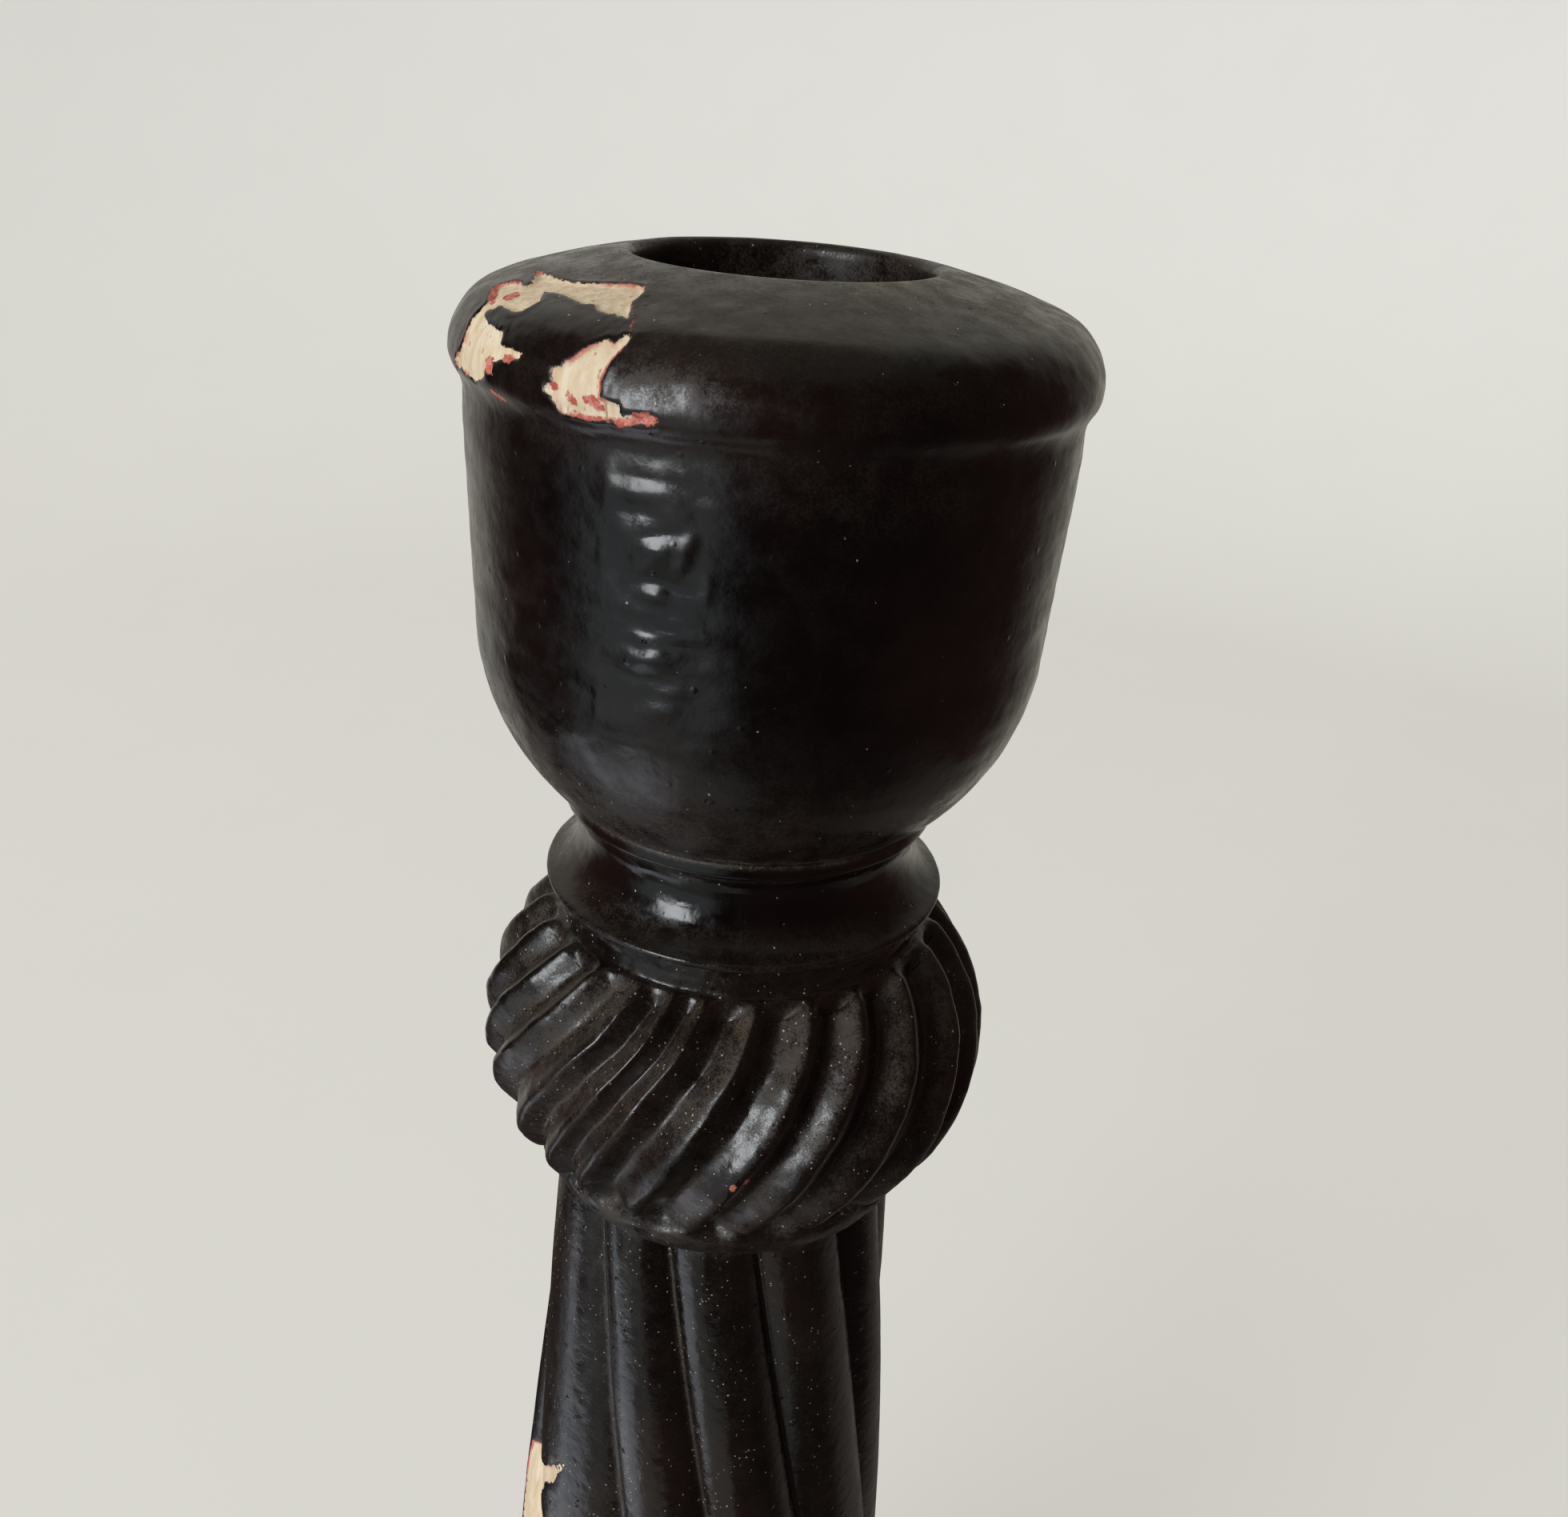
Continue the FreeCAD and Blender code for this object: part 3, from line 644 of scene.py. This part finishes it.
def cup():
    ring = rings(cup_outline(), cup_pitch, soft=0.28)
    angles = columns((-100, -82, 1.0), (-82, -6, 0.5), (-6, 90, 1.0), (90, 260, 2.0))
    radius, height, _, _, along = ring
    drop = (MOUTH - height)[:, None]
    top = np.argmin(np.hypot(radius - CREST_START, height - MOUTH))
    over = (along - along[top])[:, None] + np.zeros_like(angles)
    angle = angles + np.zeros_like(over)
    radius = radius[:, None]
    outside = smooth(11.6, 13.0, radius) * smooth(-1, 1, over)
    place = turned_points(ring, angle, np.zeros_like(over))
    flake, primer = cup_flakes(place, angle, over)
    dent = cup_relief(place, angle, drop, over, outside) + sunk(flake)
    layers = {"flake": flake, "primer": primer, "dust_and_painted_light": cup_dust_and_painted_light(radius, angle, drop, outside)}
    material = paint_material("cup_paint", gloss=0.19, peel=0.04, density=0.007, grain=0.035)
    piece = turned_piece("painted_cup", turned_points(ring, angle, dent), False, material, layers)
    settle(piece, "candle_cup")


# ---------------------------------------------------------------- collar

BAND_RADIUS = 16.3  # where the collar sits on the knop


def collar():
    """A scotia collar with a thin lip, dusty in its seams."""
    top = CUP_BOTTOM
    corners = [
        (UPPER_HOLE, top), (16.1, top), (16.15, top - 1.35), (15.35, top - 1.9), (17.75, top - 8.4, -4.6),
        (17.75, top - 8.8), (17.35, top - 9.2), (BAND_RADIUS, KNOP_TOP), (UPPER_HOLE, KNOP_TOP),
    ]
    ring = rings(corners, lambda radius, height: np.where(radius > 13, 0.18, 1.5), True, soft=0.16)
    angles = columns((-180, 180, 1.25))
    radius, height = ring[0][:, None], ring[1][:, None]
    shape = (len(ring[0]), len(angles))
    place = turned_points(ring, angles, np.zeros(shape))
    outside = smooth(12.5, 13.5, radius)
    dent = outside * (-0.04 * fractal(place, 6, 7) - 0.016 * fractal(place, (5, 5, 0.6), 9))
    dent -= outside * 0.012 * fractal(place, (0.9, 0.9, 4), 8)
    dust_and_painted_light = outside * (0.9 * bell(height, top - 0.1, 0.3) + 0.7 * bell(height, top - 1.75, 0.3))
    dust_and_painted_light = dust_and_painted_light + outside * (0.28 * smooth(top - 5.5, top - 8, height) + 0.35 * bell(height, KNOP_TOP, 0.5))
    dust_and_painted_light = dust_and_painted_light * (0.75 + 0.35 * fractal(place, 4, 21))
    material = paint_material("collar_paint", gloss=0.15, peel=0.03, density=0.05, grain=0.02)
    piece = turned_piece("painted_collar", turned_points(ring, angles, dent), True, material,
                         {**plain_layers(shape), "dust_and_painted_light": dust_and_painted_light + np.zeros(shape)})
    settle(piece, "neck_collar")


# ---------------------------------------------------------------- knop

BALL_RADIUS = 23.4
BALL_MIDDLE = 68.3  # drop of the ball's widest part
BALL_HALF_HEIGHT = 18.4
BALL_TOP = 56.5  # drops between which the ball is carved
BALL_END = 78.5
LOWER_HOLE = 6.1  # radius of the lower dowel's hole
LOWER_HOLE_RISE = 11  # how far it reaches into the knop
LOWER_HOLE_FALL = 20  # how far it reaches into the column
REED_DEPTH = 1.45
REED_COLUMNS = 22
VALLEY = 0.48  # where the valley lies between one crest and the next on its right
REED_COUNT = 25
# angle of each front crest at a drop of 60; the others are even round the back
FRONT_CRESTS = [-62, -48, -33, -22.5, -13.5, 0.5, 16, 30, 47, 66]
# how far a crest has turned, by drop
TURN_DROPS = [53, 57, 60, 63, 66, 69, 72, 75, 77, 80]
TURN_ANGLES = [8, 3.5, 0, -4.5, -8.5, -13, -17, -21, -23, -25.5]
# spots of primer, as (angle, drop, angle, drop, half width)
KNOP_PRIMER = [(1.3, 69.9, 1.5, 69.8, 0.26), (4.0, 69.4, 4.1, 69.3, 0.22)]


def knop_outline():
    ball = []
    for drop in np.linspace(BALL_TOP, BALL_END, 40):
        share = (drop - BALL_MIDDLE) / BALL_HALF_HEIGHT
        ball.append((BALL_RADIUS * math.sqrt(1 - share ** 2), MOUTH - drop))
    return [
        (0, KNOP_TOP - UPPER_HOLE_FALL), (UPPER_HOLE, KNOP_TOP - UPPER_HOLE_FALL), (UPPER_HOLE, KNOP_TOP),
        (BAND_RADIUS, KNOP_TOP), (BAND_RADIUS, MOUTH - 56.0), *ball, (18.5, KNOP_BOTTOM + 4.1),
        (16.7, KNOP_BOTTOM, 6.0), (LOWER_HOLE, KNOP_BOTTOM), (LOWER_HOLE, KNOP_BOTTOM + LOWER_HOLE_RISE),
        (0, KNOP_BOTTOM + LOWER_HOLE_RISE),
    ]


def reed_crests(drop):
    """Angle of every reed's crest on each ring, all of them wandering a little."""
    back = FRONT_CRESTS[-1]
    hidden = REED_COUNT - len(FRONT_CRESTS)
    gap = (FRONT_CRESTS[0] + 360 - back) / (hidden + 1)
    crests = np.array(FRONT_CRESTS + [back + gap * n for n in range(1, hidden + 1)])
    slant = 1 + 0.3 * bell(crests, -48, 24)
    turn = np.interp(drop, TURN_DROPS, TURN_ANGLES)
    wander = np.stack(np.broadcast_arrays(drop / 4.2, np.arange(REED_COUNT) * 7.3, 0.5 + 0 * drop), axis=-1)
    return crests + turn * slant + 0.8 * noise(wander, 3) + 0.4 * noise(wander * np.array([2.3, 1, 1]), 4)


def knop():
    """A ball of slanting reeds, whose columns of points run along the reeds."""
    ring = rings(knop_outline(), lambda radius, height: np.where(radius > 14, 0.25, 1.5), soft=0.18)
    radius, height = ring[0][:, None], ring[1][:, None]
    drop = MOUTH - height
    lines = reed_crests(drop)
    after = np.roll(lines, -1, axis=1)
    after[:, -1] += 360
    across = np.arange(REED_COLUMNS) / REED_COLUMNS
    angle = (lines[..., None] + (after - lines)[..., None] * across).reshape(len(ring[0]), -1)
    across = np.tile(across, REED_COUNT) + 0 * angle
    reed = np.repeat(np.arange(REED_COUNT), REED_COLUMNS)
    wide = front_angle(angle)

    # one side of a reed is steep and clean, the other broad and dusty
    slope = np.where(across < VALLEY, across / VALLEY, (1 - across) / (1 - VALLEY))
    crest = 0.25 * (1 - slope) + 0.375 * (1 + np.cos(math.pi * slope))
    broad_side = smooth(VALLEY + 0.02, VALLEY + 0.3, across) * smooth(1.0, 0.93, across)
    own = hashed(np.stack([reed, reed * 0, reed * 0], axis=-1), 40)
    depth = REED_DEPTH * (1 + 0.1 * own) * smooth(16.7, 17.7, radius) * smooth(80.6, 78.6, drop)
    place = turned_points(ring, angle, np.zeros(angle.shape))
    skin = smooth(14.0, 15.5, radius) + 0 * angle
    dent = depth * (1 - crest)
    dent += skin * 0.5 * bell(drop, 78.9, 0.45)
    dent -= skin * (0.095 * fractal(place, 2.9, 13) + 0.05 * fractal(place, 8, 17))
    dent += skin * 0.05 * bell(drop, 54.6, 0.25)
    dent += skin * 0.024 * fractal(place, 1.0, 19, 2) * (0.35 + broad_side)

    carved = smooth(16.7, 17.5, radius)
    dust_and_painted_light = 0.66 * broad_side * smooth(70, 59, drop) * carved * (1 + 0.3 * own)
    # dust in the reeds' valleys, and painted light: valleys on the left, the side the window lights, get far
    # more, so that side is paler brown
    valley_dust_and_painted_light = 0.16 + 0.5 * smooth(-22, -44, wide)
    dust_and_painted_light = dust_and_painted_light + valley_dust_and_painted_light * (1 - crest) * carved + 0.14
    low_dust = (0.06 + 0.12 * broad_side) * smooth(70.5, 74, drop)
    dust_and_painted_light = dust_and_painted_light + 0.5 * bell(drop, 78.6, 0.8) * (0.4 + broad_side) + low_dust
    dust_and_painted_light = dust_and_painted_light * skin * (0.85 + 0.35 * fractal(place, 5, 23))
    spots = rolled_strokes(KNOP_PRIMER, BALL_RADIUS)
    primer = stroke_distance(rounded_mm(wide, BALL_RADIUS), drop + 0 * angle, spots)
    layers = {**plain_layers(angle.shape), "primer": primer, "dust_and_painted_light": dust_and_painted_light}
    material = paint_material("knop_paint", gloss=0.17, peel=0.065, density=0.18, grain=0.05)
    piece = turned_piece("reeded_knop", turned_points(ring, angle, dent), False, material, layers)
    settle(piece, "gadrooned_knop")


# ---------------------------------------------------------------- column

COLUMN_TOP_RADIUS = 16.15
COLUMN_FLARE = 0.075
LOBE_COUNT = 12
LOBE_DEPTH = 1.9
LOBE_TWIST = 0.62  # degrees for each millimetre of drop
LOBE_PHASE = 10.5
LOBE_COLUMNS = 32
# how deep each lobe is cut beside the rest, and how far each groove strays from its even place
LOBE_CARVING = [0.95, 1.1, 1.0, 0.95, 1.05, 1.0, 0.95, 1.1, 1.0, 0.95, 0.95, 0.85]
GROOVE_SHIFTS = [1.5, 7.5, 4.0, 0, -2.0, -4.0, -8.0, -13.0, -19.0, -26.0, -1.0, 0]
TENON_RADIUS = 9
PILOT_RADIUS = 1.9  # the screw's hole
PILOT_DEPTH = 63
COLUMN_FLAKE_RADIUS = 19  # radius at which the column's flake is laid out flat
# bare wood low on the left of the column, as (angle, drop)
COLUMN_FLAKE = [
    (-86, 126), (-78, 124), (-70, 121.8), (-62, 120.8), (-57, 119), (-50, 116.2), (-53, 118.8), (-56, 121),
    (-60, 122.5), (-64, 125.3), (-63, 127), (-58, 127.4), (-60, 130), (-66, 133), (-72, 137), (-80, 139),
    (-84, 134), (-87, 129),
]


def column_outline():
    top, bottom = KNOP_BOTTOM, FOOT_TOP
    wide = COLUMN_TOP_RADIUS + COLUMN_FLARE * (top - bottom)
    pilot = TENON_BOTTOM + PILOT_DEPTH
    return [
        (0, top - LOWER_HOLE_FALL), (LOWER_HOLE, top - LOWER_HOLE_FALL), (LOWER_HOLE, top),
        (COLUMN_TOP_RADIUS, top), (wide, bottom), (TENON_RADIUS, bottom), (TENON_RADIUS, TENON_BOTTOM),
        (PILOT_RADIUS, TENON_BOTTOM), (PILOT_RADIUS, pilot), (0, pilot),
    ]


def column_pitch(radius, height):
    side = np.where(height > 120, 0.55, 1.0)
    return np.where((radius > 15.5) & (height > FOOT_TOP), side, 3.0)


def column():
    """Twisted lobes with sharp grooves between them, carved by hand and so not quite even."""
    top, bottom = KNOP_BOTTOM, FOOT_TOP
    ring = rings(column_outline(), column_pitch, soft=0.12)
    ring = (*ring[:2], np.ones_like(ring[0]), np.zeros_like(ring[0]), ring[4])
    radius, height = ring[0][:, None], ring[1][:, None]
    fall = np.clip(top - height, 0, top - bottom)
    count = LOBE_COUNT * LOBE_COLUMNS
    across = (np.arange(count) % LOBE_COLUMNS) / LOBE_COLUMNS
    angle = LOBE_PHASE + LOBE_TWIST * fall + np.arange(count) * 360 / count
    lobe = np.arange(count) // LOBE_COLUMNS
    shifts = np.array(GROOVE_SHIFTS)
    angle = angle + shifts[lobe] * (1 - across) + np.roll(shifts, -1)[lobe] * across
    wander = np.stack(np.broadcast_arrays(fall / 9, lobe * 5.1, 0.5 + 0 * fall), axis=-1)
    angle = angle + 0.5 * noise(wander, 61) * np.sin(math.pi * across)
    edge = np.abs(2 * across - 1)
    crest = COLUMN_TOP_RADIUS + COLUMN_FLARE * fall
    depth = LOBE_DEPTH * crest / COLUMN_TOP_RADIUS * np.array(LOBE_CARVING)[lobe]
    lobed = smooth(8.5, 15.5, radius) * depth * edge ** 2.3
    place = turned_points(ring, angle, np.zeros(angle.shape))
    skin = smooth(13, 15, radius) * (height > bottom - 0.5)
    dent = lobed - skin * (0.05 * fractal(place, (5, 5, 11), 71) + 0.012 * fractal(place, 1.6, 73))

    wide = front_angle(angle)
    drop = MOUTH - height + 0 * angle
    flake = np.full(angle.shape, FAR)
    near = (drop > 105) & (drop < 150) & (wide < -30)
    outline = rolled_out(COLUMN_FLAKE, COLUMN_FLAKE_RADIUS)
    flat = rounded_mm(wide, COLUMN_FLAKE_RADIUS)[near]
    flake[near] = inside_distance(flat, drop[near], outline) + 0.25 * fractal(place[near], 1.2, 77)
    dent += sunk(flake)

    seam = (1 - edge) * math.pi * crest / LOBE_COUNT
    dust_and_painted_light = 0.8 * bell(seam, 0, 0.22) * (0.6 + 0.5 * fractal(place, (2, 2, 4), 81))
    dust_and_painted_light = dust_and_painted_light + 0.3 * bell(height, top - 0.4, 0.6) + 0.09 + 0.08 * np.clip(fractal(place, 9, 83), 0, 1)
    layers = {**plain_layers(angle.shape), "flake": flake, "dust_and_painted_light": dust_and_painted_light * skin}
    material = paint_material("column_paint", gloss=0.12, peel=0.08, density=0.3, grain=0.09)
    piece = turned_piece("lobed_column", turned_points(ring, angle, dent), False, material, layers)
    settle(piece, "twisted_column")


# ---------------------------------------------------------------- foot and felt

FOOT_RADIUS = 46
RING_BASE = 33.5  # where the ring under the column meets the ogee
LEDGE = 12  # height of the narrow ledge over the plinth
TENON_HOLE = 9.05  # radius of the column's socket in the foot
TENON_HOLE_DEPTH = 15
SCREW_HOLE = 2.4
HEAD_HOLE = 7  # radius of the counterbore for the screw's head
HEAD_HOLE_DEPTH = 9
KNOCKS = 9
KNOCK_SEED = 7
FELT_RADIUS = 42.45
FELT_LIFT = 0.02  # keeps the fuzz of the felt above the floor


def foot_outline():
    top, bottom = FOOT_TOP, FOOT_BOTTOM
    head = bottom + HEAD_HOLE_DEPTH
    return [
        (TENON_HOLE, top), (28.2, top), (28.2, RING_BASE, 4.6), (29.4, 32.5), (35, 20, -11), (42.5, 14, 14),
        (40.5, LEDGE), (FOOT_RADIUS, 6.5, 5.5), (FOOT_RADIUS, bottom + 2), (FOOT_RADIUS - 2, bottom, 2),
        (HEAD_HOLE, bottom), (HEAD_HOLE, head), (SCREW_HOLE, head), (SCREW_HOLE, top - TENON_HOLE_DEPTH),
        (TENON_HOLE, top - TENON_HOLE_DEPTH),
    ]


def foot_pitch(radius, height):
    return np.where((radius > 20) & (height > FOOT_BOTTOM + 0.2), 0.42, 2.0)


def foot():
    """A round foot with a plinth, an ogee and a ring, knocked down to the wood round its widest edge."""
    top, bottom = FOOT_TOP, FOOT_BOTTOM
    ring = rings(foot_outline(), foot_pitch, True, soft=0.25)
    radius, height = ring[0][:, None], ring[1][:, None]
    angles = columns((-180, 180, 1.0))
    shape = (len(ring[0]), len(angles))
    place = turned_points(ring, angles, np.zeros(shape))
    skin = smooth(20, 23, radius) * smooth(bottom, bottom + 1, height)
    stroke = fractal(place, (9, 9, 1.5), 91)
    dent = skin * (0.1 + 0.04 * fractal(place, 11, 93) + 0.014 * stroke)

    across = rounded_mm(angles, FOOT_RADIUS) + 0 * height
    up = height + 0 * across
    scatter = np.random.default_rng(KNOCK_SEED)
    knocks = []
    for _ in range(KNOCKS):
        turn, low = scatter.uniform(-180, 180), scatter.uniform(5.2, 10.5)
        reach, size = scatter.uniform(0.4, 2.2), scatter.uniform(0.25, 0.6)
        middle = rounded_mm(turn, FOOT_RADIUS)
        knocks.append((middle - reach, low, middle + reach, low + 0.3, size))
    flake = stroke_distance(across, up, knocks)
    flake = np.where(radius > 40, flake + 0.3 * fractal(place, 1.1, 95), FAR)
    dent = dent + sunk(flake)

    # dust on what faces up, and in each hollow
    dust_and_painted_light = 0.28 * smooth(0.35, 0.95, ring[3][:, None])
    dust_and_painted_light = dust_and_painted_light + 0.7 * bell(height, RING_BASE - 0.3, 0.7) * (radius < 31)
    dust_and_painted_light = dust_and_painted_light + 0.7 * bell(height, LEDGE + 0.2, 0.6) * (radius < 42.5)
    dust_and_painted_light = dust_and_painted_light + 0.7 * bell(radius, 26.3, 1.3) * (height > top - 1)
    dust_and_painted_light = dust_and_painted_light * skin * (0.9 + 0.4 * fractal(place, 6, 97))
    layers = {**plain_layers(shape), "flake": flake, "dust_and_painted_light": dust_and_painted_light}
    material = paint_material("foot_paint", gloss=0.27, peel=0.03, density=0.04, grain=0.03)
    piece = turned_piece("painted_foot", turned_points(ring, angles, dent), True, material, layers)
    settle(piece, "turned_foot")


def felt():
    """A flat disc of felt, glued all over its top."""
    corners = [(0, FELT_TOP), (FELT_RADIUS, FELT_TOP), (FELT_RADIUS, FELT_LIFT), (0, FELT_LIFT)]
    ring = rings(corners, lambda radius, height: np.where(radius > 41, 0.2, 1.6), soft=0.12)
    angles = columns((-180, 180, 1.5))
    shape = (len(ring[0]), len(angles))
    place = turned_points(ring, angles, np.zeros(shape))
    dent = 0.05 + 0.045 * fractal(place, 1.3, 101)
    piece = turned_piece("felt_disc", turned_points(ring, angles, dent), False, felt_material(), {})
    settle(piece, "felt_pad")


cup()
collar()
knop()
column()
foot()
felt()

for material, nodes in (
    (dowel_material(), ("upper_dowel", "lower_dowel")),
    (steel_material(), ("base_screw", "screw_washer")),
):
    for node in nodes:
        for place in frame["nodes"][node].material_slots:
            place.material = material

# ---------------------------------------------------------------- stage

FLOOR_RADIUS = 700
SWEEP = 350  # how far the floor takes to bend up into the wall
WALL_HEIGHT = 1900
FLOOR_DARK = (0.40, 0.395, 0.375)
FLOOR_PALE = (0.43, 0.425, 0.405)
FLOOR_GLOW = (0.70, 0.69, 0.64)
FLOOR_GLOW_STRENGTH = 0.66
DISC_STEP = 5  # degrees
CARD_RADIUS = 300  # a sheet under the object that only its gloss mirrors
CARD_CENTRE = (0, -60)
CARD_DROP = 0.3
CARD_DIM = (0.045, 0.034, 0.030)
CARD_FRONT = (0.30, 0.31, 0.29)
CARD_SIDE = (0.15, 0.13, 0.115)
CARD_LIT = (1.0, 1.06, 1.16)
CARD_PALE = (0.50, 0.48, 0.43)
ROOM_DIM = (0.030, 0.020, 0.018)
ROOM_LEFT = (0.52, 0.50, 0.45)
ROOM_RIGHT = (0.085, 0.046, 0.043)
ROOM_BACK = (0.44, 0.42, 0.36)
ROOM_TOP = (0.135, 0.14, 0.115)
ROOM_DOOR = (0.48, 0.53, 0.55)
ROOM_SEEN = (0.7, 0.69, 0.65)
AIM = Vector((0, 0, 0.2))  # where the lamps point, in metres


def floor_material():
    material = bpy.data.materials.new("pale_floor")
    graph = Graph(material)
    grain = graph.noise(graph.points(), 0.02, 3.0)
    colour = graph.mix(grain, FLOOR_DARK, FLOOR_PALE)
    surface = graph.add("BsdfPrincipled", {
        "Base Color": colour, "Roughness": 0.9, "Specular IOR Level": 0.1,
        "Emission Color": (*FLOOR_GLOW, 1), "Emission Strength": FLOOR_GLOW_STRENGTH})
    graph.add("OutputMaterial", {"Surface": surface})
    return material


def card_material():
    """What the gloss mirrors from below: bright at the left, grey in front and dim at the right."""
    material = bpy.data.materials.new("pale_card")
    graph = Graph(material)
    place = graph.points()
    turn = graph.turn(place)
    away = graph.add("VectorMath", {0: place}, "Value", operation="LENGTH")
    colour = graph.mix(graph.between(turn, 80, 150, 20), CARD_DIM, CARD_SIDE)
    near = graph.times(graph.between(turn, -60, 0, 6), graph.ramp(away, 225, 185))
    front = graph.math("MAXIMUM", graph.between(turn, -60, -20, 6), near)
    front = graph.times(front, graph.ramp(away, 80, 130, 0.35, 1.0))
    colour = graph.mix(front, colour, CARD_FRONT)
    lit = graph.times(graph.between(turn, -110, -50, 7), graph.ramp(away, 90, 130))
    aside = graph.times(graph.ramp(turn, -84, -100), graph.ramp(away, 115, 165, 0, 0.85))
    lit = graph.times(lit, graph.math("SUBTRACT", 1.0, aside))
    beyond = graph.times(graph.ramp(turn, -82, -72), graph.ramp(away, 205, 230, 0, 0.9))
    lit = graph.times(lit, graph.math("SUBTRACT", 1.0, beyond))
    colour = graph.mix(lit, colour, CARD_LIT)
    back = graph.ramp(graph.math("ABSOLUTE", turn), 122, 150)
    colour = graph.mix(graph.times(back, graph.ramp(away, 190, 260)), colour, CARD_PALE)
    surface = graph.add("Emission", {"Color": colour, "Strength": 1.0})
    graph.add("OutputMaterial", {"Surface": surface})
    return material


def disc(name, reach, rise, centre, material):
    """A round sheet from its rim inwards."""
    turn = np.radians(np.arange(0, 360, DISC_STEP))
    reach, rise = np.array(reach)[:, None], np.array(rise)[:, None]
    x, y = centre[0] + reach * np.sin(turn), centre[1] - reach * np.cos(turn)
    points = np.stack([x, y, rise + 0 * turn], axis=-1)
    rows, count = points.shape[:2]
    quads, _ = grid_faces(rows, count, False)
    faces = quads[:, ::-1].tolist() + [[(rows - 1) * count + n for n in range(count)]]
    mesh = bpy.data.meshes.new(name)
    mesh.from_pydata((points.reshape(-1, 3) * MM).tolist(), [], faces)
    mesh.polygons.foreach_set("use_smooth", np.ones(len(mesh.polygons), bool))
    mesh.materials.append(material)
    thing = bpy.data.objects.new(name, mesh)
    bpy.context.scene.collection.objects.link(thing)
    return thing


def stage():
    """A pale floor that bends up into a wall, and the card."""
    bend = np.radians(np.linspace(0, 90, 24))
    curve = FLOOR_RADIUS + SWEEP * np.cos(bend)
    reach = [FLOOR_RADIUS + SWEEP, *curve, FLOOR_RADIUS * 0.97, FLOOR_RADIUS * 0.5]
    rise = [WALL_HEIGHT, *(SWEEP - SWEEP * np.sin(bend)), 0, 0]
    floor = disc("floor", reach, rise, (0, 0), floor_material())
    card = disc("card", [CARD_RADIUS, CARD_RADIUS / 2], [-CARD_DROP] * 2, CARD_CENTRE, card_material())
    floor.visible_diffuse = floor.visible_glossy = floor.visible_shadow = False
    card.visible_camera = card.visible_shadow = False


def world():
    """Soft room light with a bright door in front, and one plain colour to the camera."""
    ground = bpy.data.worlds.new("room")
    bpy.context.scene.world = ground
    graph = Graph(ground)
    way = graph.add("TexCoord", {}, "Generated")
    turn = graph.turn(way)
    lift = graph.times(graph.math("ARCSINE", graph.add("SeparateXYZ", {0: way}, "Z")), 180 / math.pi)
    left = graph.times(graph.between(turn, -200, -124, 11), graph.ramp(lift, -44, -33, 0.25, 1.0))
    colour = graph.mix(left, ROOM_DIM, ROOM_LEFT)
    colour = graph.mix(graph.between(turn, 60, 150, 30), colour, ROOM_RIGHT)
    colour = graph.mix(graph.between(turn, 130, 200, 20), colour, ROOM_BACK)
    colour = graph.mix(graph.ramp(lift, 44, 62), colour, ROOM_TOP)
    door = graph.times(graph.between(turn, -72, -16, 7), graph.between(lift, -56, -4, 5))
    colour = graph.mix(door, colour, ROOM_DOOR)
    pale = graph.mix(graph.add("LightPath", {}, "Is Camera Ray"), colour, ROOM_SEEN)
    surface = graph.add("Background", {"Color": pale, "Strength": 1.0})
    graph.add("OutputWorld", {"Surface": surface})


def softbox(name, turn, lift, distance, width, tall, power, tint, mirrored):
    """A lamp turn and lift degrees round from the front, sized and placed in metres."""
    light = bpy.data.lights.new(name, "AREA")
    light.shape = "RECTANGLE"
    light.size, light.size_y = width, tall
    light.energy = power
    light.color = tint
    lamp = bpy.data.objects.new(name, light)
    turn, lift = math.radians(turn), math.radians(lift)
    way = Vector((math.sin(turn) * math.cos(lift), -math.cos(turn) * math.cos(lift), math.sin(lift)))
    lamp.location = AIM + way * distance
    lamp.rotation_mode = "QUATERNION"
    lamp.rotation_quaternion = way.to_track_quat("Z", "Y")
    lamp.visible_glossy = mirrored
    lamp.visible_camera = False
    bpy.context.scene.collection.objects.link(lamp)


stage()
world()
softbox("window", -42, 10, 3.2, 1.24, 1.8, 72, (0.93, 0.97, 1.0), True)
softbox("room", -50, 48, 3.6, 3.0, 3.0, 56, (1.0, 0.99, 0.96), False)

# ---------------------------------------------------------------- camera

CAMERA_PLACE = (-1.44, -118.7, 273.58)
CAMERA_LENS = 34.31
SENSOR_WIDTH = 36.0
NEAR_CLIP = 0.01  # metres
CAMERA_YAW = 1.58
CAMERA_PITCH = 25.05
CAMERA_ROLL = 3.32
CAMERA_LEAN = 1.031  # turn about the front-to-back axis that stands the object upright


def camera():
    data = bpy.data.cameras.new("view")
    data.lens = CAMERA_LENS
    data.sensor_width = SENSOR_WIDTH
    data.clip_start = NEAR_CLIP
    data.dof.use_dof = False
    eye = bpy.data.objects.new("view", data)
    yaw, pitch, roll = (math.radians(a) for a in (CAMERA_YAW, CAMERA_PITCH, CAMERA_ROLL))
    ahead = Vector((math.sin(yaw) * math.cos(pitch), math.cos(yaw) * math.cos(pitch), -math.sin(pitch)))
    right = Vector((math.cos(yaw), -math.sin(yaw), 0))
    up = right.cross(ahead)
    side = right * math.cos(roll) + up * math.sin(roll)
    rise = up * math.cos(roll) - right * math.sin(roll)
    axes = Matrix((side, rise, -ahead)).transposed()
    lean = Matrix.Rotation(-math.radians(CAMERA_LEAN), 3, "Y")
    eye.matrix_world = Matrix.Translation(Vector(CAMERA_PLACE) * MM) @ (lean @ axes).to_4x4()
    bpy.context.scene.collection.objects.link(eye)
    bpy.context.scene.camera = eye


camera()
bpy.context.scene.view_settings.view_transform = "Standard"
